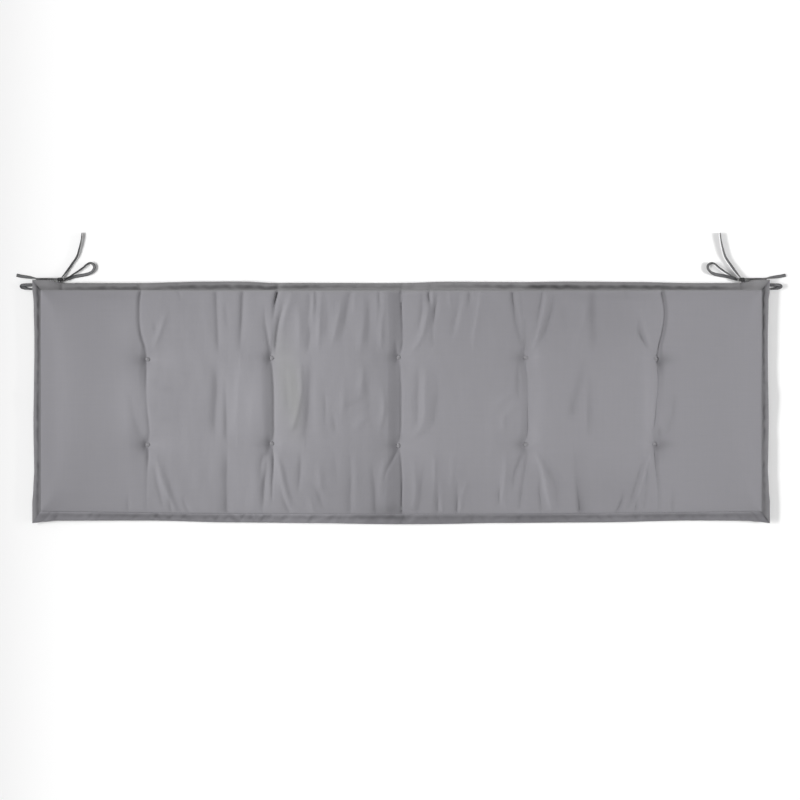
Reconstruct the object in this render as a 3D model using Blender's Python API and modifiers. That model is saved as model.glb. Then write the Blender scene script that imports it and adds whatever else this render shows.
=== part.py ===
# Bench cushion, 1.50 x 0.50 m: a tufted pad in a sewn border, with a bow of tape at each back corner.
# Metres. +X runs along the cushion, +Y to the back edge with the ties, +Z up from the underside.

import math
from collections import namedtuple

import bmesh
import bpy
from mathutils import Vector

MM = 0.001
CREASE_ANGLE = math.radians(50)

# The outer edge of the border, and the seam that joins it to the pad.
CORNER_X = 0.7510
BACK_CORNER_Y = 0.2489
FRONT_CORNER_Y = -0.2466
SEAM_X = 0.7333
BACK_SEAM_Y = 0.2279
FRONT_SEAM_Y = -0.2225
FRONT_SEAM_BOW = 0.0058
SEAM_HEIGHT = 0.0150

# The border: a flat doubled strip that droops from the seam to its outer edge and flutters.
BORDER_ROWS = (0.0, 0.45, 1.0)
BORDER_THICKNESS = 0.0024
EDGE_THINNING = 0.45
BORDER_DROOP = 0.0060
DROOP_CURVE = 1.3
FLUTTER = 0.0009
FLUTTER_LENGTHS = (0.173, 0.107)
FLUTTER_PHASE = 1.0
MITRE_GAP = 0.00025

# The filled pad: a thin rim at the seam, a crown above and a rounded, then flat, underside.
PAD_EDGE = 1.025
RIM_HALF_HEIGHT = 0.0014
CROWN_HEIGHT = 0.0315
CROWN_RISE = 0.036
FOLD_AT_SEAM = 0.3
FOLD_GROWTH = 1.5
UNDERSIDE_ROWS = (0.3, 0.62, 1.0)
UNDERSIDE_REACH = 2.9

# The tufts, their pits and the knots in them.
TUFT_COLUMNS = (-0.5171, -0.2639, -0.0057, 0.2515, 0.5173)
TUFT_ROWS = {"back": 0.0889, "front": -0.0875}
PIT_DEPTH = 0.0135
PIT_RADIUS = 0.020
PIT_FLOOR_RADIUS = 0.003
HOLLOW_DEPTH = 0.0040
HOLLOW_RADIUS = 0.062
TUFT_RADIUS = 0.0033
TUFT_HALF_HEIGHT = 0.0019
TUFT_LIFT = 0.0038

# The ties: flat tape.
TAPE_WIDTH = 0.0065
TAPE_THICKNESS = 0.0010
STEPS_A_POINT = 3
KNOT_CENTRE = (-0.6943, 0.2495, 0.0047)
KNOT_RADII = (0.0065, 0.0038, 0.0043)

# Colours in linear light, from the photo's greys.
Finish = namedtuple("Finish", "colour roughness")
PANEL_CLOTH = Finish((0.27, 0.265, 0.285), 0.85)
BORDER_CLOTH = Finish((0.17, 0.167, 0.178), 0.85)
TUFT_THREAD = Finish((0.36, 0.355, 0.37), 0.7)
TIE_TAPE = Finish((0.065, 0.066, 0.07), 0.8)

# Where the outer edge of the border wanders: (x, y) along the back and the front, in metres.
BACK_EDGE = (
    (-0.751, 0.2489), (-0.735, 0.2489), (-0.716, 0.2480), (-0.700, 0.2440), (-0.686, 0.2422),
    (-0.537, 0.2422), (-0.400, 0.2452), (-0.328, 0.2454), (-0.255, 0.2425), (0.000, 0.2422),
    (0.092, 0.2450), (0.245, 0.2442), (0.350, 0.2452), (0.470, 0.2444), (0.600, 0.2422),
    (0.686, 0.2422), (0.700, 0.2440), (0.716, 0.2480), (0.735, 0.2489), (0.751, 0.2489),
)
FRONT_EDGE = (
    (-0.751, -0.2466), (-0.727, -0.2440), (-0.703, -0.2418), (-0.515, -0.2414), (-0.345, -0.2452),
    (-0.185, -0.2466), (-0.020, -0.2489), (0.060, -0.2487), (0.200, -0.2464), (0.400, -0.2452),
    (0.590, -0.2414), (0.703, -0.2418), (0.727, -0.2440), (0.751, -0.2466),
)
# How far each short side is drawn in from its corners: (y, distance).
SIDE_DRAW_IN = (
    (-0.2466, 0.0), (-0.206, 0.0004), (-0.180, 0.0030), (-0.138, 0.0046), (-0.040, 0.0034),
    (0.024, 0.0048), (0.126, 0.0050), (0.205, 0.0032), (0.228, 0.0006), (0.2489, 0.0),
)

# The main folds of the top panel: each a path of x, y and depth, with its width, in millimetres.
Fold = namedtuple("Fold", "width path")
FOLDS = (
    # down the first and the last tuft column
    Fold(9, ((-531, 232, 6), (-537, 204, 7), (-535, 165, 7), (-524, 124, 6), (-517, 89, 5))),
    Fold(10, ((-517, 89, 6), (-520, 30, 4), (-516, -40, 4), (-517, -87, 6))),
    Fold(9, ((-517, -87, 5), (-519, -150, 3), (-519, -222, 2))),
    Fold(9, ((-500, -118, 3), (-480, -222, 3))),
    Fold(9, ((531, 232, 6), (537, 204, 7), (535, 165, 7), (524, 124, 6), (517, 89, 5))),
    Fold(10, ((517, 89, 6), (520, 30, 4), (516, -40, 4), (517, -87, 6))),
    Fold(9, ((517, -87, 5), (519, -150, 3), (519, -222, 2))),
    Fold(9, ((500, -118, 3), (480, -222, 3))),
    # down the second column, opening into a V above and a fan below its tufts
    Fold(9, ((-281, 195, 3), (-268, 110, 4), (-264, 89, 5))),
    Fold(8, ((-255, 232, 6), (-258, 195, 5), (-256, 150, 5), (-264, 89, 5))),
    Fold(10, ((-264, 89, 6), (-262, 0, 5), (-264, -87, 6))),
    Fold(9, ((-264, -87, 6), (-282, -130, 5), (-280, -228, 3))),
    Fold(8, ((-264, -87, 6), (-260, -140, 4), (-263, -200, 3))),
    Fold(8, ((-248, -115, 2), (-228, -230, 4))),
    # down the middle column
    Fold(12, ((-2, 232, 7), (0, 130, 6), (-6, 89, 6))),
    Fold(12, ((-6, 89, 7), (-2, 0, 6), (-6, -87, 6))),
    Fold(10, ((-6, -87, 6), (1, -140, 6), (2, -232, 6))),
    Fold(9, ((-6, -87, 6), (-34, -141, 4), (-35, -215, 2))),
    # down the fourth column, the same V and fan
    Fold(9, ((225, 232, 5), (226, 180, 5), (235, 140, 4), (252, 89, 5))),
    Fold(9, ((285, 232, 5), (279, 165, 4), (252, 89, 5))),
    Fold(10, ((252, 89, 6), (257, 0, 4), (252, -87, 6))),
    Fold(9, ((252, -87, 6), (230, -132, 5), (224, -170, 4), (226, -228, 2))),
    Fold(8, ((252, -87, 5), (247, -141, 4), (236, -215, 3))),
    Fold(9, ((258, -105, 2), (280, -215, 5))),
    # the straighter pleats between the columns
    Fold(9, ((-382, 230, 4), (-380, 125, 2))),
    Fold(8, ((-328, 228, 3), (-334, 118, 3))),
    Fold(9, ((-383, 75, 4), (-385, -65, 4))),
    Fold(8, ((-359, 40, 3), (-359, -70, 3))),
    Fold(9, ((-358, -105, 3), (-359, -226, 6))),
    Fold(9, ((54, 228, 5), (60, 125, 3))),
    Fold(9, ((359, -170, 4), (361, -224, 6))),
)

# Lines of the top panel's mesh: close together at each column, row and pleat.
COLUMN_STEPS = (-0.032, -0.016, -0.007, 0.0, 0.007, 0.016, 0.032)
PLEAT_LINES = (-0.394, -0.383, -0.371, -0.359, -0.347, -0.330, 0.042, 0.056, 0.070, 0.359)
LONGEST_STEP = 0.030
ROW_STEPS = (-0.034, -0.018, -0.008, 0.0, 0.008, 0.018, 0.034)


def eased(table, position):
    # Value of a (position, value) table, eased from row to row.
    for (start, first), (end, last) in zip(table, table[1:]):
        if position <= end:
            part = max(0.0, (position - start) / (end - start))
            return first + (last - first) * part * part * (3.0 - 2.0 * part)
    return table[-1][1]


def mixed(first, last, part):
    return first + (last - first) * part


def edge_point(side, part):
    # A point on the outer edge of the border, part of the way along one side.
    if side in ("front", "back"):
        x = CORNER_X * (2.0 * part - 1.0)
        return x, eased(BACK_EDGE if side == "back" else FRONT_EDGE, x)
    y = mixed(FRONT_CORNER_Y, BACK_CORNER_Y, part)
    x = CORNER_X - eased(SIDE_DRAW_IN, y)
    return (x, y) if side == "right" else (-x, y)


def seam_point(side, part):
    # The matching point on the seam.
    if side in ("front", "back"):
        x = SEAM_X * (2.0 * part - 1.0)
        if side == "back":
            return x, BACK_SEAM_Y
        return x, FRONT_SEAM_Y - FRONT_SEAM_BOW * (1.0 - (x / SEAM_X) ** 2)
    y = mixed(FRONT_SEAM_Y, BACK_SEAM_Y, part)
    return (SEAM_X, y) if side == "right" else (-SEAM_X, y)


def rim_point(side, part, inward, height):
    # A point so far inward of the outer edge, where 1 is the seam.
    edge = edge_point(side, part)
    seam = seam_point(side, part)
    return Vector((mixed(edge[0], seam[0], inward), mixed(edge[1], seam[1], inward), height))


def border_point(side, part, inward, face):
    # A point of the border's upper (face 0.5) or lower (face -0.5) side.
    point = rim_point(side, part, inward, SEAM_HEIGHT)
    outward = 1.0 - inward
    place = point.x if side in ("front", "back") else point.y
    flutter = sum(math.sin(2.0 * math.pi * place / length + FLUTTER_PHASE)
                  for length in FLUTTER_LENGTHS)
    from_corner = math.sin(math.pi * part)
    point.z -= BORDER_DROOP * outward ** DROOP_CURVE
    point.z += FLUTTER * flutter * outward * from_corner
    point.z += face * BORDER_THICKNESS * (1.0 - EDGE_THINNING * outward ** 3)
    return point


PANEL_HALF_LENGTH = mixed(CORNER_X, SEAM_X, PAD_EDGE)
PANEL_BACK = mixed(BACK_CORNER_Y, BACK_SEAM_Y, PAD_EDGE)
PANEL_FRONT = mixed(FRONT_CORNER_Y, FRONT_SEAM_Y, PAD_EDGE)
PANEL_EDGE_HEIGHT = SEAM_HEIGHT + RIM_HALF_HEIGHT


def lines_between(fixed):
    # The fixed lines, with more set evenly into each gap that is wider than the longest step.
    lines = [fixed[0]]
    for line in fixed[1:]:
        count = math.ceil((line - lines[-1]) / LONGEST_STEP)
        start = lines[-1]
        lines += [mixed(start, line, (step + 1) / count) for step in range(count)]
    return lines


def panel_lines():
    across = {round(column + step, 4) for column in TUFT_COLUMNS for step in COLUMN_STEPS}
    across |= set(PLEAT_LINES) | {-PANEL_HALF_LENGTH, PANEL_HALF_LENGTH}
    along = {round(row + step, 4) for row in TUFT_ROWS.values() for step in ROW_STEPS}
    along |= {PANEL_FRONT, PANEL_BACK}
    return lines_between(sorted(across)), lines_between(sorted(along))


def fold_depth(fold, x, y):
    # Deepest pull of one fold at a point, falling away to both sides of its path.
    deepest = 0.0
    for (x0, y0, depth0), (x1, y1, depth1) in zip(fold.path, fold.path[1:]):
        run_x, run_y = x1 - x0, y1 - y0
        part = ((x - x0) * run_x + (y - y0) * run_y) / (run_x ** 2 + run_y ** 2)
        part = min(1.0, max(0.0, part))
        away = math.hypot(x - x0 - part * run_x, y - y0 - part * run_y)
        deepest = max(deepest, mixed(depth0, depth1, part) * math.exp(-(away / fold.width) ** 2))
    return deepest


def top_height(x, y):
    # Height of the top panel: its crown, less the tuft pits and the folds.
    from_sides = max(0.0, PANEL_HALF_LENGTH - abs(x))
    from_ends = max(0.0, min(PANEL_BACK - y, y - PANEL_FRONT))
    rise = (1.0 - math.exp(-from_sides / CROWN_RISE)) * (1.0 - math.exp(-from_ends / CROWN_RISE))
    height = mixed(PANEL_EDGE_HEIGHT, CROWN_HEIGHT, rise)
    for column in TUFT_COLUMNS:
        for row in TUFT_ROWS.values():
            away = math.hypot(x - column, y - row)
            height -= PIT_DEPTH * math.exp(-max(away, PIT_FLOOR_RADIUS) / PIT_RADIUS)
            height -= HOLLOW_DEPTH * math.exp(-(away / HOLLOW_RADIUS) ** 2)
    deepest = max(fold_depth(fold, x / MM, y / MM) for fold in FOLDS) * MM
    return height - deepest * mixed(FOLD_AT_SEAM, 1.0, min(1.0, rise * FOLD_GROWTH))


def finish_object(name, bm, finish, collection):
    bmesh.ops.recalc_face_normals(bm, faces=bm.faces[:])
    mesh = bpy.data.meshes.new(name)
    bm.to_mesh(mesh)
    bm.free()
    mesh.shade_smooth()
    mesh.set_sharp_from_angle(angle=CREASE_ANGLE)
    piece = bpy.data.objects.new(name, mesh)
    collection.objects.link(piece)
    material = bpy.data.materials.new(name)
    material.use_nodes = True
    shader = material.node_tree.nodes["Principled BSDF"]
    shader.inputs["Base Color"].default_value = (*finish.colour, 1.0)
    shader.inputs["Roughness"].default_value = finish.roughness
    mesh.materials.append(material)
    return piece


def make_sheet(columns, rows, place):
    # An open grid put in place point by point, and the column and row of each of its points.
    bm = bmesh.new()
    bmesh.ops.create_grid(bm, x_segments=columns - 1, y_segments=rows - 1, size=1.0)
    seats = {}
    for vertex in bm.verts:
        column = round((vertex.co.x + 1.0) / 2.0 * (columns - 1))
        row = round((vertex.co.y + 1.0) / 2.0 * (rows - 1))
        seats[vertex] = (column, row)
        vertex.co = place(column, row)
    return bm, seats


def new_points(extruded):
    return [item for item in extruded["geom"] if isinstance(item, bmesh.types.BMVert)]


def split_quads(bm):
    # The pad and the border split alike, along the shorter diagonal, so that their faces stay apart.
    bmesh.ops.triangulate(bm, faces=bm.faces[:], quad_method="SHORT_EDGE")


def rim_station(column, row, across, along):
    # The side and the part of the way along it of a point on the top panel's edge.
    part_x = (across[column] / PANEL_HALF_LENGTH + 1.0) / 2.0
    part_y = (along[row] - PANEL_FRONT) / (PANEL_BACK - PANEL_FRONT)
    if row == 0:
        return "front", part_x
    if row == len(along) - 1:
        return "back", part_x
    if column == 0:
        return "left", part_y
    if column == len(across) - 1:
        return "right", part_y
    return None


def make_pad(across, along, collection):
    def place(column, row):
        station = rim_station(column, row, across, along)
        if station:
            return rim_point(*station, PAD_EDGE, PANEL_EDGE_HEIGHT)
        x, y = across[column], along[row]
        return Vector((x, y, top_height(x, y)))

    bm, seats = make_sheet(len(across), len(along), place)
    stations = {tuple(vertex.co): rim_station(*seats[vertex], across, along)
                for vertex in bm.verts if vertex.is_boundary}
    rim_foot = SEAM_HEIGHT - RIM_HALF_HEIGHT
    rings = [(PAD_EDGE, rim_foot)]
    rings += [(PAD_EDGE + UNDERSIDE_REACH * row, rim_foot * (1.0 - row) ** 2) for row in UNDERSIDE_ROWS]
    for inward, height in rings:
        rim = [edge for edge in bm.edges if edge.is_boundary]
        above, stations = stations, {}
        for vertex in new_points(bmesh.ops.extrude_edge_only(bm, edges=rim)):
            station = above[tuple(vertex.co)]
            vertex.co = rim_point(*station, inward, height)
            stations[tuple(vertex.co)] = station
    rim = [edge for edge in bm.edges if edge.is_boundary]
    bmesh.ops.triangle_fill(bm, use_beauty=True, edges=rim)
    split_quads(bm)
    return finish_object("cushion_pad", bm, PANEL_CLOTH, collection)


def make_border(side, parts, collection):
    # A strip of doubled cloth, cut square to its mitre at both ends.
    length = 2.0 * CORNER_X if side in ("front", "back") else BACK_CORNER_Y - FRONT_CORNER_Y
    trimmed = [MITRE_GAP / length] + list(parts[1:-1]) + [1.0 - MITRE_GAP / length]

    def place(column, row):
        return border_point(side, trimmed[column], BORDER_ROWS[row], 0.5)

    bm, seats = make_sheet(len(trimmed), len(BORDER_ROWS), place)
    upper = {tuple(vertex.co): seat for vertex, seat in seats.items()}
    for vertex in new_points(bmesh.ops.extrude_face_region(bm, geom=bm.faces[:], use_keep_orig=True)):
        column, row = upper[tuple(vertex.co)]
        vertex.co = border_point(side, trimmed[column], BORDER_ROWS[row], -0.5)
    split_quads(bm)
    return finish_object("border_" + side, bm, BORDER_CLOTH, collection)


def make_tufts(collection):
    for number, x in enumerate(TUFT_COLUMNS, start=1):
        for row, y in TUFT_ROWS.items():
            bm = bmesh.new()
            bmesh.ops.create_uvsphere(bm, u_segments=10, v_segments=6, radius=TUFT_RADIUS)
            bmesh.ops.scale(bm, vec=(1.0, 1.0, TUFT_HALF_HEIGHT / TUFT_RADIUS), verts=bm.verts[:])
            tuft = finish_object(f"tuft_{number}_{row}", bm, TUFT_THREAD, collection)
            tuft.location = (x, y, top_height(x, y) + TUFT_LIFT)


# The left bow's routes: x, y, z and the tape's roll in degrees, 0 flat on the surface and 90 on edge.
TIE_ROUTES = {
    "tie_root": (
        (-0.7440, 0.2498, 0.0085, 90), (-0.7360, 0.2501, 0.0074, 90), (-0.7270, 0.2502, 0.0056, 90),
        (-0.7170, 0.2500, 0.0044, 90), (-0.7090, 0.2494, 0.0042, 90), (-0.7012, 0.2488, 0.0046, 90),
    ),
    "tie_tail_side": (
        (-0.7001, 0.2516, 0.0046, 90), (-0.7155, 0.2518, 0.0040, 90), (-0.7308, 0.2518, 0.0037, 90),
        (-0.7430, 0.2520, 0.0037, 85), (-0.7525, 0.2533, 0.0032, 55), (-0.7620, 0.2547, 0.0018, 20),
        (-0.7730, 0.2562, 0.0009, 4), (-0.7840, 0.2585, 0.0008, 0),
    ),
    "tie_tail_back": (
        (-0.6915, 0.2538, 0.0046, 90), (-0.6817, 0.2658, 0.0036, 62), (-0.6714, 0.2800, 0.0034, 55),
        (-0.6610, 0.2957, 0.0035, 62), (-0.6557, 0.3126, 0.0037, 70), (-0.6518, 0.3307, 0.0038, 80),
        (-0.6502, 0.3449, 0.0038, 86),
    ),
    "tie_bow": (
        (-0.6879, 0.2478, 0.0046, -90), (-0.6819, 0.2493, 0.0034, -50), (-0.6738, 0.2530, 0.0016, -12),
        (-0.6636, 0.2560, 0.0010, -4), (-0.6494, 0.2584, 0.0010, -4), (-0.6372, 0.2603, 0.0013, -10),
        (-0.6290, 0.2636, 0.0026, -35), (-0.6235, 0.2694, 0.0032, -50), (-0.6222, 0.2762, 0.0034, -60),
        (-0.6262, 0.2815, 0.0036, -70), (-0.6318, 0.2832, 0.0037, -80), (-0.6385, 0.2806, 0.0038, -90),
        (-0.6467, 0.2745, 0.0038, -90), (-0.6583, 0.2662, 0.0042, -90), (-0.6680, 0.2602, 0.0052, -90),
        (-0.6790, 0.2540, 0.0058, -90), (-0.6874, 0.2508, 0.0056, -90),
    ),
    "tie_bow_under": (
        (-0.6982, 0.2453, 0.0040, -90), (-0.7060, 0.2421, 0.0036, -80), (-0.7200, 0.2404, 0.0030, -50),
        (-0.7350, 0.2410, 0.0030, -50), (-0.7517, 0.2420, 0.0035, -66), (-0.7680, 0.2398, 0.0035, -64),
        (-0.7735, 0.2374, 0.0034, -58), (-0.7748, 0.2340, 0.0034, -56), (-0.7725, 0.2308, 0.0034, -60),
        (-0.7650, 0.2294, 0.0035, -64), (-0.7517, 0.2291, 0.0035, -66), (-0.7350, 0.2298, 0.0030, -50),
        (-0.7180, 0.2322, 0.0030, -50), (-0.7040, 0.2370, 0.0036, -80), (-0.6936, 0.2446, 0.0040, -90),
    ),
}


def smooth_route(route):
    # Points on a smooth curve through the rows of a route.
    rows = [Vector(row[:3]).to_4d() for row in route]
    for row, point in zip(rows, route):
        row.w = point[3]
    rows = [2 * rows[0] - rows[1]] + rows + [2 * rows[-1] - rows[-2]]
    points = []
    for before, start, end, after in zip(rows, rows[1:], rows[2:], rows[3:]):
        for step in range(STEPS_A_POINT):
            part = step / STEPS_A_POINT
            bend = (2 * before - 5 * start + 4 * end - after) * part ** 2
            twist = (3 * start - before - 3 * end + after) * part ** 3
            points.append((2 * start + (end - before) * part + bend + twist) / 2)
    return points + [rows[-2]]


def make_tape(name, route, mirror, collection):
    points = smooth_route(route)

    def place(column, row):
        here = points[column]
        ahead = points[min(column + 1, len(points) - 1)].to_3d()
        behind = points[max(column - 1, 0)].to_3d()
        along = (ahead - behind).normalized()
        level = Vector((-along.y, along.x, 0.0)).normalized()
        roll = math.radians(here.w)
        across = level * math.cos(roll) + along.cross(level) * math.sin(roll)
        point = here.to_3d() + across * TAPE_WIDTH * (row - 0.5)
        return Vector((point.x * mirror, point.y, point.z))

    bm, _ = make_sheet(len(points), 2, place)
    tape = finish_object(name, bm, TIE_TAPE, collection)
    solidify = tape.modifiers.new("Thickness", "SOLIDIFY")
    solidify.thickness = TAPE_THICKNESS
    solidify.offset = 0.0
    return tape


def make_knot(name, mirror, collection):
    bm = bmesh.new()
    bmesh.ops.create_uvsphere(bm, u_segments=12, v_segments=7, radius=1.0)
    bmesh.ops.scale(bm, vec=KNOT_RADII, verts=bm.verts[:])
    knot = finish_object(name, bm, TIE_TAPE, collection)
    knot.location = (KNOT_CENTRE[0] * mirror, KNOT_CENTRE[1], KNOT_CENTRE[2])


def main():
    for old in list(bpy.data.objects):
        bpy.data.objects.remove(old, do_unlink=True)
    collection = bpy.data.collections.new("bench_cushion")
    bpy.context.scene.collection.children.link(collection)
    across, along = panel_lines()
    make_pad(across, along, collection)
    x_parts = [(line / PANEL_HALF_LENGTH + 1.0) / 2.0 for line in across]
    y_parts = [(line - PANEL_FRONT) / (PANEL_BACK - PANEL_FRONT) for line in along]
    for side in ("front", "back"):
        make_border(side, x_parts, collection)
    for side in ("left", "right"):
        make_border(side, y_parts, collection)
    make_tufts(collection)
    for corner, mirror in (("left", 1.0), ("right", -1.0)):
        make_knot("tie_knot_" + corner, mirror, collection)
        for piece, route in TIE_ROUTES.items():
            make_tape(f"{piece}_{corner}", route, mirror, collection)


main()
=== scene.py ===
# Looks of the bench cushion, in metres: filled panel, sewn border, tuft knots and tape bows.
import math

import bmesh
import bpy
import numpy as np
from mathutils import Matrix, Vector


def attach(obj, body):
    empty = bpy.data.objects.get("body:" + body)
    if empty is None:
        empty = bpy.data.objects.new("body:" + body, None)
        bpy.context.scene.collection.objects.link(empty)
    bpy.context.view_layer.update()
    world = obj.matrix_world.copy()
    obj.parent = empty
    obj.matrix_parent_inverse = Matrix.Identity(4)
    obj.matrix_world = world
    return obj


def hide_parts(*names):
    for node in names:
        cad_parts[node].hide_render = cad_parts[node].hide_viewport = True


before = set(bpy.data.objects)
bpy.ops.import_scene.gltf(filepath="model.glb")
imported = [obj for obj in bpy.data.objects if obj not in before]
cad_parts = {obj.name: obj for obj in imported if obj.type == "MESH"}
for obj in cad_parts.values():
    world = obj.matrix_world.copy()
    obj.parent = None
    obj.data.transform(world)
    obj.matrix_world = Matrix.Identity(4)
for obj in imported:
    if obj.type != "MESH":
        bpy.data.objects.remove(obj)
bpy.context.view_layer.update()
mm = 0.001
fullTurn = 2.0 * math.pi
scene = bpy.context.scene
print("frame loaded:", len(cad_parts), "nodes")


def mixed(first, last, part):
    return first + (last - first) * part


def waveAt(place, length, start=0.0):
    return np.sin(fullTurn * place / length + start)


def eased(table, place):
    # Values given at places along a line, read with soft steps between them.
    places, values = list(table), list(table.values())
    index = np.clip(np.searchsorted(places, place) - 1, 0, len(places) - 2)
    start, end = np.take(places, index), np.take(places, index + 1)
    part = np.clip((place - start) / (end - start), 0.0, 1.0)
    return mixed(np.take(values, index), np.take(values, index + 1), part * part * (3.0 - 2.0 * part))


def smoothPath(rows, stepsBetween):
    # Catmull-Rom through the rows, any number of columns.
    rows = np.array(rows, float)
    rows = np.vstack([2 * rows[0] - rows[1], rows, 2 * rows[-1] - rows[-2]])
    parts = np.arange(stepsBetween)[:, None] / stepsBetween
    pieces = []
    for before, start, end, after in zip(rows, rows[1:], rows[2:], rows[3:]):
        bend = (2 * before - 5 * start + 4 * end - after) * parts ** 2
        twist = (3 * start - before - 3 * end + after) * parts ** 3
        pieces.append((2 * start + (end - before) * parts + bend + twist) / 2)
    return np.vstack(pieces + [rows[-2][None]])


def addObject(name, mesh, material):
    piece = bpy.data.objects.new(name, mesh)
    scene.collection.objects.link(piece)
    mesh.materials.append(material)
    return piece


def standFor(piece, node):
    # The piece shows in place of its solid and rides with the cushion.
    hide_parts(node)
    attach(piece, "root")


def addNote(mesh, title, values):
    # Values at each point that the material reads: one number, or a place when there is one more axis.
    vector = values.ndim == 3
    layer = mesh.attributes.new(title, "FLOAT_VECTOR" if vector else "FLOAT", "POINT")
    layer.data.foreach_set("vector" if vector else "value", values.astype(np.float32).ravel())


def skinOver(name, rings, material, joined=False, notes=None):
    # A closed skin over rings of points; joined links the last ring to the first, else both ends are filled.
    count, around = rings.shape[:2]
    faces = []
    for i in range(count if joined else count - 1):
        here, there = i * around, (i + 1) % count * around
        for j in range(around):
            k = (j + 1) % around
            faces.append((here + j, here + k, there + k, there + j))
    if not joined:
        faces.append(tuple(range(around))[::-1])
        faces.append(tuple((count - 1) * around + j for j in range(around)))
    mesh = bpy.data.meshes.new(name)
    mesh.from_pydata(rings.reshape(-1, 3).tolist(), [], faces)
    for title, values in (notes or {}).items():
        addNote(mesh, title, values)
    bm = bmesh.new()
    bm.from_mesh(mesh)
    bmesh.ops.recalc_face_normals(bm, faces=bm.faces[:])
    bm.to_mesh(mesh)
    bm.free()
    mesh.shade_smooth()
    if not joined:
        mesh.set_sharp_from_angle(angle=math.radians(60.0))
    return addObject(name, mesh, material)


def newGroup(name, inputs, outputs):
    group = bpy.data.node_groups.new(name, "ShaderNodeTree")
    for title, kind, value in inputs:
        socket = group.interface.new_socket(title, in_out="INPUT", socket_type=kind)
        if value is not None:
            socket.default_value = value
    for title in outputs:
        group.interface.new_socket(title, in_out="OUTPUT", socket_type="NodeSocketFloat")
    return group, group.nodes.new("NodeGroupInput"), group.nodes.new("NodeGroupOutput")


def mathNode(tree, operation, first, second=None, third=None):
    node = tree.nodes.new("ShaderNodeMath")
    node.operation = operation
    for socket, value in zip(node.inputs, (first, second, third)):
        if value is None:
            continue
        if isinstance(value, (int, float)):
            socket.default_value = value
        else:
            tree.links.new(value, socket)
    return node.outputs[0]


def noiseNode(tree, vector, scale, detail=2.0, roughness=0.5):
    node = tree.nodes.new("ShaderNodeTexNoise")
    node.inputs["Scale"].default_value = scale
    node.inputs["Detail"].default_value = detail
    node.inputs["Roughness"].default_value = roughness
    tree.links.new(vector, node.inputs["Vector"])
    return node.outputs["Fac"]


def stretched(tree, vector, scale):
    node = tree.nodes.new("ShaderNodeMapping")
    node.inputs["Scale"].default_value = scale
    tree.links.new(vector, node.inputs["Vector"])
    return node.outputs["Vector"]


def noteNode(tree, title):
    node = tree.nodes.new("ShaderNodeAttribute")
    node.attribute_name = title
    return node


threads = {"wobbleScale": 60.0, "wobble": 0.0006, "crossing": 1.5, "slubAcross": 700.0, "slubAlong": 14.0,
           "toneBase": 0.93, "threadGapShade": 0.10}
fade = {"broadScale": 3.0, "broadGrit": 0.55, "fineScale": 45.0, "fineGrit": 0.6, "fineShare": 0.35,
        "middle": 0.675}


def makeWeave():
    # Plain weave: round warp and weft threads that pass over each other, with slubs. Place is in metres.
    group, given, out = newGroup(
        "plainWeave",
        [("Place", "NodeSocketVector", None), ("Pitch", "NodeSocketFloat", 0.0008),
         ("Slubs", "NodeSocketFloat", 0.3)],
        ["Height", "Tone"])
    place = given.outputs["Place"]
    wobble = noiseNode(group, place, threads["wobbleScale"])
    split = group.nodes.new("ShaderNodeSeparateXYZ")
    group.links.new(place, split.inputs[0])
    bow = mathNode(group, "DIVIDE", given.outputs["Pitch"], math.pi)
    waves = []
    for axis in (0, 1):
        shifted = mathNode(group, "MULTIPLY_ADD", wobble, threads["wobble"], split.outputs[axis])
        waves.append(mathNode(group, "SINE", mathNode(group, "DIVIDE", shifted, bow)))
    over = mathNode(group, "MULTIPLY", waves[0], waves[1])
    over = mathNode(group, "MULTIPLY_ADD", over, threads["crossing"], 0.5)
    over = mathNode(group, "MINIMUM", mathNode(group, "MAXIMUM", over, 0.0), 1.0)
    warp = mathNode(group, "MULTIPLY", mathNode(group, "ABSOLUTE", waves[0]), over)
    weft = mathNode(group, "MULTIPLY", mathNode(group, "ABSOLUTE", waves[1]),
                    mathNode(group, "SUBTRACT", 1.0, over))
    height = mathNode(group, "ADD", warp, weft)
    across, along = threads["slubAcross"], threads["slubAlong"]
    warpSlubs = noiseNode(group, stretched(group, place, (across, along, along)), 1.0)
    weftSlubs = noiseNode(group, stretched(group, place, (along, across, along)), 1.0)
    slubs = mathNode(group, "SUBTRACT", mathNode(group, "ADD", warpSlubs, weftSlubs), 1.0)
    slubs = mathNode(group, "MULTIPLY", slubs, given.outputs["Slubs"])
    group.links.new(mathNode(group, "ADD", height, slubs), out.inputs["Height"])
    # Painted shade: the tone is darker in the hollows between the threads and lighter on their crowns.
    tone = mathNode(group, "MULTIPLY_ADD", height, threads["threadGapShade"], threads["toneBase"])
    group.links.new(mathNode(group, "ADD", tone, slubs), out.inputs["Tone"])
    return group


def makeFading():
    # Handling and daylight leave broad patches a little lighter or darker.
    group, given, out = newGroup(
        "fading", [("Place", "NodeSocketVector", None), ("Amount", "NodeSocketFloat", 0.05)], ["Tone"])
    broad = noiseNode(group, given.outputs["Place"], fade["broadScale"], 3.0, fade["broadGrit"])
    fine = noiseNode(group, given.outputs["Place"], fade["fineScale"], 3.0, fade["fineGrit"])
    both = mathNode(group, "MULTIPLY_ADD", fine, fade["fineShare"], broad)
    centred = mathNode(group, "SUBTRACT", both, fade["middle"])
    tone = mathNode(group, "MULTIPLY_ADD", centred, given.outputs["Amount"], 1.0)
    group.links.new(tone, out.inputs["Tone"])
    return group


weaveGroup = makeWeave()
fadingGroup = makeFading()


def placeGroup(tree, group, place, values):
    node = tree.nodes.new("ShaderNodeGroup")
    node.node_tree = group
    tree.links.new(place, node.inputs["Place"])
    for title, value in values.items():
        node.inputs[title].default_value = value
    return node


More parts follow.
